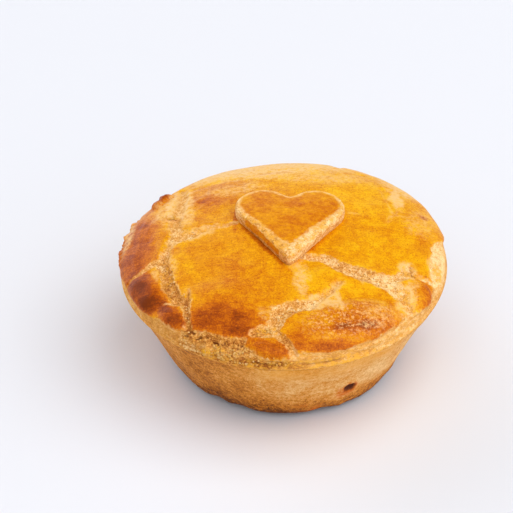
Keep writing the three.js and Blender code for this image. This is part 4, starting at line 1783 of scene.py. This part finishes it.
@dataclass
class PastryHeart:
    """The heart on the lid: glazed on top, bare and speckled where the cutter went through."""

    dome: Dome
    left_lobe: tuple[float, float] = (-5.9, 8.6)
    right_lobe: tuple[float, float] = (8.5, 8.6)
    lobe_radius: float = 7.5
    tip: tuple[float, float] = (1.2, -15.0)
    middle: tuple[float, float] = (1.2, 3.0)
    thickness: float = 3.0
    corner: float = 1.9
    notch_corner: float = 3.0
    sides: int = 520
    arc_points: int = 200
    side_rings: int = 12
    edge_rings: int = 10
    top_rings: int = 46
    # The share of the thickness at which the cut side turns into the rounded edge, how far in that
    # edge starts and how far it goes, and how much higher than it the middle of the top is.
    cut_share: float = 0.62
    edge_start: float = 0.07
    edge_inset: float = 0.95
    crown: float = 0.35
    # The way round the cut side, in millimetres for each radian, its roughness and the top's.
    mean_radius: float = 14.0
    cut: Grain = Grain(0.1, 0.9, 3, 3.0)
    puff: Grain = Grain(0.06, 3.0, 3, 80.0)
    # How wide the bare dough along the heart's edge is, by direction from its middle in degrees.
    bare_edge: tuple[tuple[float, float], ...] = (
        (0, 1.5), (20, 1.0), (60, 0.8), (90, 0.75), (150, 0.85), (172, 1.2), (195, 1.6), (225, 1.9),
        (255, 2.2), (270, 3.0), (285, 2.6), (310, 2.3), (340, 2.1), (360, 1.5),
    )
    ragged: Grain = Grain(0.45, 1.6, 3, 15.0)
    # Where glaze has run over the cut side: first and last direction.
    run_over: tuple[float, float] = (180, 266)
    run_edge: Grain = Grain(0.14, 1.6, 2, 8.0)
    bake_base: float = 0.44
    bake: Grain = Grain(0.06, 7.0, 3, 5.0)
    sandy: float = 0.75

    def side_turn(self, lobe: tuple[float, float], sign: int) -> float:
        """Returns the direction in which a straight side leaves a lobe."""
        dx, dy = self.tip[0] - lobe[0], self.tip[1] - lobe[1]
        return math.atan2(dy, dx) + sign * math.acos(self.lobe_radius / math.hypot(dx, dy))

    def arc(self, lobe: tuple[float, float], first: float, last: float) -> Array:
        """Returns the points of a lobe between two directions."""
        turn = np.linspace(first, last, self.arc_points)
        return np.array(lobe) + self.lobe_radius * np.stack([np.cos(turn), np.sin(turn)], -1)

    def outline(self) -> Array:
        """The heart seen from above: two lobes and straight sides to the tip, softly rounded.

        Returns:
            Evenly spaced points round it.
        """
        notch = math.acos((self.right_lobe[0] - self.left_lobe[0]) / 2 / self.lobe_radius)
        right = self.arc(self.right_lobe, self.side_turn(self.right_lobe, 1), math.pi - notch)
        left = self.arc(self.left_lobe, notch, self.side_turn(self.left_lobe, -1) + math.tau)
        route = np.concatenate([[self.tip], right, left, [self.tip]])
        way = np.concatenate([[0], np.cumsum(np.hypot(*np.diff(route, axis=0).T))])
        even = np.linspace(0, way[-1], self.sides, endpoint=False)
        line = np.interp(even, way, route[:, 0]) + 1j * np.interp(even, way, route[:, 1])
        waves = np.fft.fftfreq(self.sides, way[-1] / self.sides) * math.tau
        soft, softer = (np.fft.ifft(np.fft.fft(line) * np.exp(-((waves * size) ** 2) / 2))
                        for size in (self.corner, self.notch_corner))
        cleft = complex((self.left_lobe[0] + self.right_lobe[0]) / 2, self.left_lobe[1])
        share = falling(np.abs(line - cleft), 4, 8)
        soft = soft * (1 - share) + softer * share
        return np.stack([soft.real, soft.imag], -1)

    def levels(self) -> list[tuple[float, float, float]]:
        """The rings from the underside up.

        Returns:
            For each ring its share of the outline, its inset and its height over the lid.
        """
        rounding, inset = 1 - self.cut_share, self.edge_start + self.edge_inset
        levels = [(0.5, 0.0, -0.1), (1.0, 0.3, -0.05)]
        for share in np.linspace(0.04, self.cut_share, self.side_rings):
            levels.append((1.0, 0.3 * abs(share - 0.4), share * self.thickness))
        for turn in np.linspace(0.15, math.pi / 2, self.edge_rings):
            up = self.cut_share + rounding * math.sin(turn)
            aside = self.edge_start + self.edge_inset * (1 - math.cos(turn))
            levels.append((1.0, aside, self.thickness * up))
        for share in np.linspace(0.93, 0.03, self.top_rings):
            levels.append((share, inset * share, self.thickness + self.crown * (1 - share**2)))
        return levels

    def surface(self) -> Surface:
        """Builds the underside, the cut side, the rounded edge and the top.

        Returns:
            The heart's surface.
        """
        outline, middle = self.outline(), np.array(self.middle)
        inward = middle - outline
        inward /= np.linalg.norm(inward, axis=-1, keepdims=True)
        way = np.arctan2(-inward[:, 1], -inward[:, 0]) * self.mean_radius
        rings, bare, toast, yolk = [], [], [], []
        for share, inset, height in self.levels():
            flat = middle + (outline - middle) * share + inward * inset
            if share == 1.0 and height < 0.97 * self.thickness:
                flat = flat - inward * self.cut.at(way, np.full(self.sides, height * 2.0))[:, None]
                puff = 0.0
            else:
                puff = self.puff.at(*flat.T)
            rings.append(np.stack([*flat.T, self.dome.point(*flat.T)[:, 2] + height + puff], -1))
            bare.append(self.bare_at(flat, outline, height))
            toast.append(self.toast_at(flat, height))
            up = rising(height / self.thickness, 0.5, 0.9)
            yolk.append(np.full(self.sides, 0.15 + 0.35 * up))
        points, faces = ringed_surface(np.stack(rings))
        return Surface(points, faces, self.paint(points, bare, toast, yolk))

    def paint(self, points: Array, bare: list, toast: list, yolk: list) -> dict[str, Array]:
        """What the finishes read off the heart.

        Args:
            points: All its points, the two middle ones last.
            bare: Distances in from the edge of the glaze, ring by ring.
            toast: How brown the dough is, ring by ring.
            yolk: How yellow it is, ring by ring.

        Returns:
            The painted layers.
        """
        bared = np.append(np.concatenate(bare), [2.0, -3.0])
        bake = self.bake_base + self.bake.at(points[:, 0], points[:, 1])
        return {
            "bare": bared,
            "thin": 0.8 * rising(bared, -1.3, 0.1),
            "toast": np.append(np.concatenate(toast), [0.5, 0.5]),
            "bake": bake + 0.06 * falling(points[:, 1], -8, 0),
            "pit_shade": np.zeros(len(points)),
            "blister": np.zeros(len(points)),
            "sandy": np.full(len(points), self.sandy),
            "yolk": np.append(np.concatenate(yolk), [0.0, 0.0]),
            "rolled": points.copy(),
        }

    def azimuth_of(self, flat: Array) -> Array:
        """Returns the direction of places from the heart's middle, in degrees."""
        x, y = flat.T
        return np.degrees(np.arctan2(y - self.middle[1], x - self.middle[0])) % 360

    def bare_at(self, flat: Array, outline: Array, height: float) -> Array:
        """How far places on the heart lie inside bare dough.

        Args:
            flat: The places, seen from above.
            outline: The heart's outline.
            height: Their height over the lid.

        Returns:
            The distance in from the edge of the glaze, below zero under the glaze.
        """
        away = np.hypot(flat[:, :1] - outline[:, 0], flat[:, 1:] - outline[:, 1]).min(1)
        azimuth = self.azimuth_of(flat)
        edge = np.interp(azimuth, *zip(*self.bare_edge)) - away
        edge = edge + self.ragged.at(*flat.T) * (away > 0.9)
        share = self.run_edge.at(azimuth * 0.2, np.full_like(azimuth, height))
        share = share + height / self.thickness
        run = between(azimuth, *self.run_over, 12) * rising(share, 0.25, 0.45)
        return edge - 5 * run * falling(share, 0.82, 0.93)

    def toast_at(self, flat: Array, height: float) -> Array:
        """How brown the bare dough of the heart is, with painted shade on its lower left side.

        Args:
            flat: The places, seen from above.
            height: Their height over the lid.

        Returns:
            0 for cream to 1 for brown.
        """
        azimuth, low = self.azimuth_of(flat), 1 - height / self.thickness
        # Painted shade: the lower left side, turned from the light, is darker.
        left = rising(azimuth, 170, 190) * falling(azimuth, 262, 275)
        return 0.1 + 0.34 * left + 0.26 * low

    def build(self, glaze: EggGlaze, dough: BareDough) -> bpy.types.Object:
        """Makes the heart, glazed on top and of bare dough along its cut side."""
        finish = glaze.material("heart_glaze", dough, "rolled")
        return claim(self.surface().to_object("glazed_heart"), Slot.GLAZED, finish, "pastry_heart")


@dataclass(frozen=True)
class CrumbField:
    """An oval stretch of crust with crumbs on it: how many, how large and how brown they are."""

    oval: Oval
    count: int
    sizes: tuple[float, float] = (0.16, 0.42)
    bake: tuple[float, float] = (0.0, 0.55)

    def scatter(self, rng: np.random.Generator) -> Array:
        """Picks places in the oval.

        Args:
            rng: Source of chance.

        Returns:
            One row of x and y on the rolled-out crust for each crumb.
        """
        away, turn = np.sqrt(rng.uniform(0, 1.1, self.count)), rng.uniform(0, math.tau, self.count)
        along = away * np.cos(turn) * self.oval.half[0]
        across = away * np.sin(turn) * self.oval.half[1]
        cos, sin = self.oval.axis
        x = self.oval.at[0] + along * cos - across * sin
        return np.stack([x, self.oval.at[1] + along * sin + across * cos], -1)


@dataclass
class Crumbs:
    """Crumbs of dough and glaze, half sunk in the crust that they broke from."""

    dome: Dome
    marks: CrustMarks
    seed: int = 7
    columns: int = 9
    rows: int = 6
    flatness: float = 0.65
    # How far in from the rim every crumb stays, and the share of its size by which it is sunk.
    rim_gap: float = 0.7
    sunk: float = 0.05
    fields: tuple[CrumbField, ...] = (
        CrumbField(Oval((-19, -42), (4, 1.6), 26), 40, (0.16, 0.42), (0.35, 0.75)),
        CrumbField(Oval((-13.5, -43), (4.5, 1.4), 14), 40, (0.16, 0.4), (0.25, 0.7)),
        CrumbField(Oval((-27, -38), (7, 2), -40), 16, (0.16, 0.4)),
        CrumbField(Oval((-9, -46.2), (8, 1), 10), 18, (0.2, 0.4), (0.1, 0.6)),
        CrumbField(Oval((1, -46.6), (5, 0.6), -2), 8, (0.2, 0.36), (0.3, 0.7)),
        CrumbField(Oval((-5.5, -37), (3.5, 2), -5), 14, (0.16, 0.36), (0.1, 0.5)),
        CrumbField(Oval((-30.6, 9.6), (2.4, 1), 0), 6, (0.25, 0.5), (0.5, 0.8)),
        CrumbField(Oval((-29.8, -15), (1.4, 7), 8), 18, (0.14, 0.3)),
        CrumbField(Oval((-25, -29), (1, 6), 5), 16, (0.14, 0.3)),
        CrumbField(Oval((1, -30.5), (5, 1.6), 25), 16, (0.14, 0.3)),
        CrumbField(Oval((23, -17), (8, 1.6), -22), 18, (0.14, 0.3)),
        CrumbField(Oval((33.5, -12.6), (2.4, 1.6), 8), 16, (0.14, 0.36), (0.4, 0.9)),
    )

    def lump(self, rng: np.random.Generator, size: float) -> Array:
        """Shapes one crumb, angular and uneven.

        Args:
            rng: Source of its irregularities.
            size: Its mean radius.

        Returns:
            Its points, row by row from the bottom, in millimetres.
        """
        rise = np.linspace(-math.pi / 2, math.pi / 2, self.rows + 2)[1:-1, None]
        stretch = rng.uniform(0.6, 1.5, 3) * (1.0, 1.0, self.flatness)
        radius = size * rng.uniform(0.6, 1.25, (self.rows, self.columns, 1))
        return around(np.cos(rise), turns(self.columns), np.sin(rise)) * radius * stretch

    def surface(self) -> Surface:
        """Strews the crumbs over their fields.

        Returns:
            The surface of all crumbs.
        """
        rng = np.random.default_rng(self.seed)
        spots = np.concatenate([each.scatter(rng) for each in self.fields])
        sizes = np.concatenate([rng.uniform(*each.sizes, each.count) for each in self.fields])
        baked = np.concatenate([rng.uniform(*each.bake, each.count) for each in self.fields])
        reach = np.minimum(1, (self.dome.span - self.rim_gap) / np.hypot(*spots.T))
        x, y = (spots * reach[:, None]).T
        out = self.dome.normal(x, y)
        height = self.marks.large_relief(Places(x, y, self.dome.span)) - self.sunk * sizes
        foot = self.dome.point(x, y) + out * height[:, None]
        points, faces, start = [], [], 0
        for place, up, size in zip(foot, out, sizes):
            side = np.cross(rng.normal(size=3), up)
            side /= np.linalg.norm(side)
            crumb, sides = ringed_surface(self.lump(rng, size))
            points.append(crumb @ np.stack([side, np.cross(up, side), up]) + place)
            faces += [tuple(start + corner for corner in face) for face in sides]
            start += len(crumb)
        bake = np.repeat(baked, start // len(baked))
        return Surface(np.concatenate(points), faces, {"bake": bake})

    def build(self, finish: LooseCrumb) -> bpy.types.Object:
        """Makes all crumbs as one piece and dresses them."""
        piece = self.surface().to_object("crumbs")
        return claim(piece, Slot.GLAZED, finish.material("loose_crumb"))


# ---- floor, light and camera


def face(thing: bpy.types.Object, place: Vector, toward: Vector) -> None:
    """Puts a camera or a light in its place.

    Args:
        thing: The camera or light.
        place: Where it stands, in metres.
        toward: The direction in which it looks or shines.
    """
    thing.location = place
    thing.rotation_mode = "QUATERNION"
    thing.rotation_quaternion = toward.to_track_quat("-Z", "Y")


@dataclass(frozen=True)
class Softbox:
    """A square soft light that faces the pie: where it stands in degrees, its power in watts, its
    colour, and its side and distance in metres.
    """

    name: str
    azimuth: float
    elevation: float
    watts: float
    colour: Colour
    size: float = 2.8
    distance: float = 3.0

    def add(self) -> bpy.types.Object:
        """Adds the light.

        Returns:
            The light.
        """
        lamp = bpy.data.lights.new(self.name, "AREA")
        lamp.size, lamp.energy, lamp.color = self.size, self.watts, self.colour
        turn, rise = math.radians(self.azimuth), math.radians(self.elevation)
        flat = math.cos(rise)
        place = Vector((math.cos(turn) * flat, math.sin(turn) * flat, math.sin(rise)))
        light = add_to_scene(self.name, lamp)
        face(light, place * self.distance, -place)
        return light


@dataclass(frozen=True)
class Glow:
    """A brighter or darker part of the room: its direction, the cosines from it at which the change
    starts and is full, and the change.
    """

    direction: Triple
    start: float
    full: float
    change: float


@dataclass
class Studio:
    """A pale floor under soft studio light, seen from the photograph's angle."""

    elevation: float = 36.4
    distance: float = 550.0
    target_height: float = 20.0
    frame_pixels: int = 513
    pixels_per_mm: float = 3.762
    target_pixel: tuple[float, float] = (284.5, 289.6)
    sensor: float = 36.0
    clip: tuple[float, float] = (0.01, 20.0)
    floor_size: float = 4000.0
    floor_colour: Colour = (0.76, 0.758, 0.778)
    floor_roughness: float = 0.9
    room_colour: Colour = (0.94, 0.985, 1.08)
    backdrop: float = 0.66
    ceiling: float = 0.54
    # The heights, from 0 to 1, at which the backdrop starts to dim and the ceiling is reached.
    fade: tuple[float, float] = (0.1, 0.75)
    glows: tuple[Glow, ...] = (
        Glow((-0.62, 0.78, 0.05), 0.55, 1.0, 1.9),
        Glow((0.85, -0.52, 0.0), 0.4, 1.0, 1.0),
        Glow((0.0, 0.8, 0.6), 0.72, 0.95, -0.5),
    )
    lights: tuple[Softbox, ...] = (
        Softbox("key", 348, 63, 44.0, (1.02, 1.0, 0.96)),
        Softbox("fill", 262, 55, 27.0, (1.02, 1.0, 0.97)),
    )

    def camera(self) -> None:
        """Adds the camera and makes it the scene's own."""
        rise = math.radians(self.elevation)
        back = Vector((0, -math.cos(rise), math.sin(rise)))
        up = Vector((0, math.sin(rise), math.cos(rise)))
        target = Vector((0, 0, self.target_height))
        middle = self.frame_pixels / 2
        aside = (middle - self.target_pixel[0]) / self.pixels_per_mm
        above = (self.target_pixel[1] - middle) / self.pixels_per_mm
        aim = target + Vector((aside, 0, 0)) + up * above
        lens = bpy.data.cameras.new("camera")
        lens.sensor_width = self.sensor
        lens.lens = self.pixels_per_mm * self.distance * self.sensor / self.frame_pixels
        lens.clip_start, lens.clip_end = self.clip
        camera = add_to_scene("camera", lens)
        place = (target + back * self.distance) * MM
        face(camera, place, aim * MM - place)
        bpy.context.scene.camera = camera

    def floor(self) -> None:
        """Adds the floor."""
        half = self.floor_size / 2
        corners = np.array([(-half, -half, 0), (half, -half, 0), (half, half, 0), (-half, half, 0)])
        floor = Surface(corners, [(0, 1, 2, 3)]).to_object("floor")
        bench = MaterialBench("paper_floor")
        bench.feed(bench.shader.inputs["Base Color"], self.floor_colour)
        bench.feed(bench.shader.inputs["Roughness"], self.floor_roughness)
        floor.data.materials.append(bench.material)

    def room(self) -> None:
        """Fills the room with soft light: a bright backdrop all round under a dimmer ceiling."""
        world = bpy.data.worlds.new("room")
        world.use_nodes = True
        bench = NodeBench(world.node_tree)
        place = bench.add("ShaderNodeTexCoord").outputs["Generated"]
        height = bench.add("ShaderNodeSeparateXYZ", {0: place}).outputs["Z"]
        light = bench.remap(height, *self.fade, self.backdrop, self.ceiling)
        for glow in self.glows:
            toward = bench.add("ShaderNodeVectorMath", {0: place, 1: glow.direction},
                               operation="DOT_PRODUCT").outputs["Value"]
            light = bench.sum(light, bench.remap(toward, glow.start, glow.full, 0.0, glow.change))
        background = world.node_tree.nodes["Background"]
        bench.feed(background.inputs["Strength"], light)
        bench.feed(background.inputs["Color"], self.room_colour)
        bpy.context.scene.world = world

    def set_up(self) -> None:
        """Adds floor, lights and camera."""
        self.camera()
        self.floor()
        self.room()
        for light in self.lights:
            light.add()
        bpy.context.scene.view_settings.view_transform = "Standard"


# ---- putting it together


def main() -> None:
    """Builds the pie's pieces in order, and then the studio around it."""
    logging.basicConfig(level=logging.INFO, format="%(name)s: %(message)s")
    mould, marks = Mould(), CrustMarks()
    dome = Dome(mould)
    dough, glaze, crust = BareDough(), EggGlaze(), WallCrust()
    pieces = [
        PastryCase(mould).build(crust),
        PastryLid(dome, marks).build(glaze, dough),
        PastryHeart(dome).build(EggGlaze(speckled=0.5), dough),
        Crumbs(dome, marks).build(LooseCrumb()),
    ]
    for piece in pieces:
        LOG.info("%s: %d faces", piece.name, len(piece.data.polygons))
    Studio().set_up()


if __name__ == "__main__":
    main()
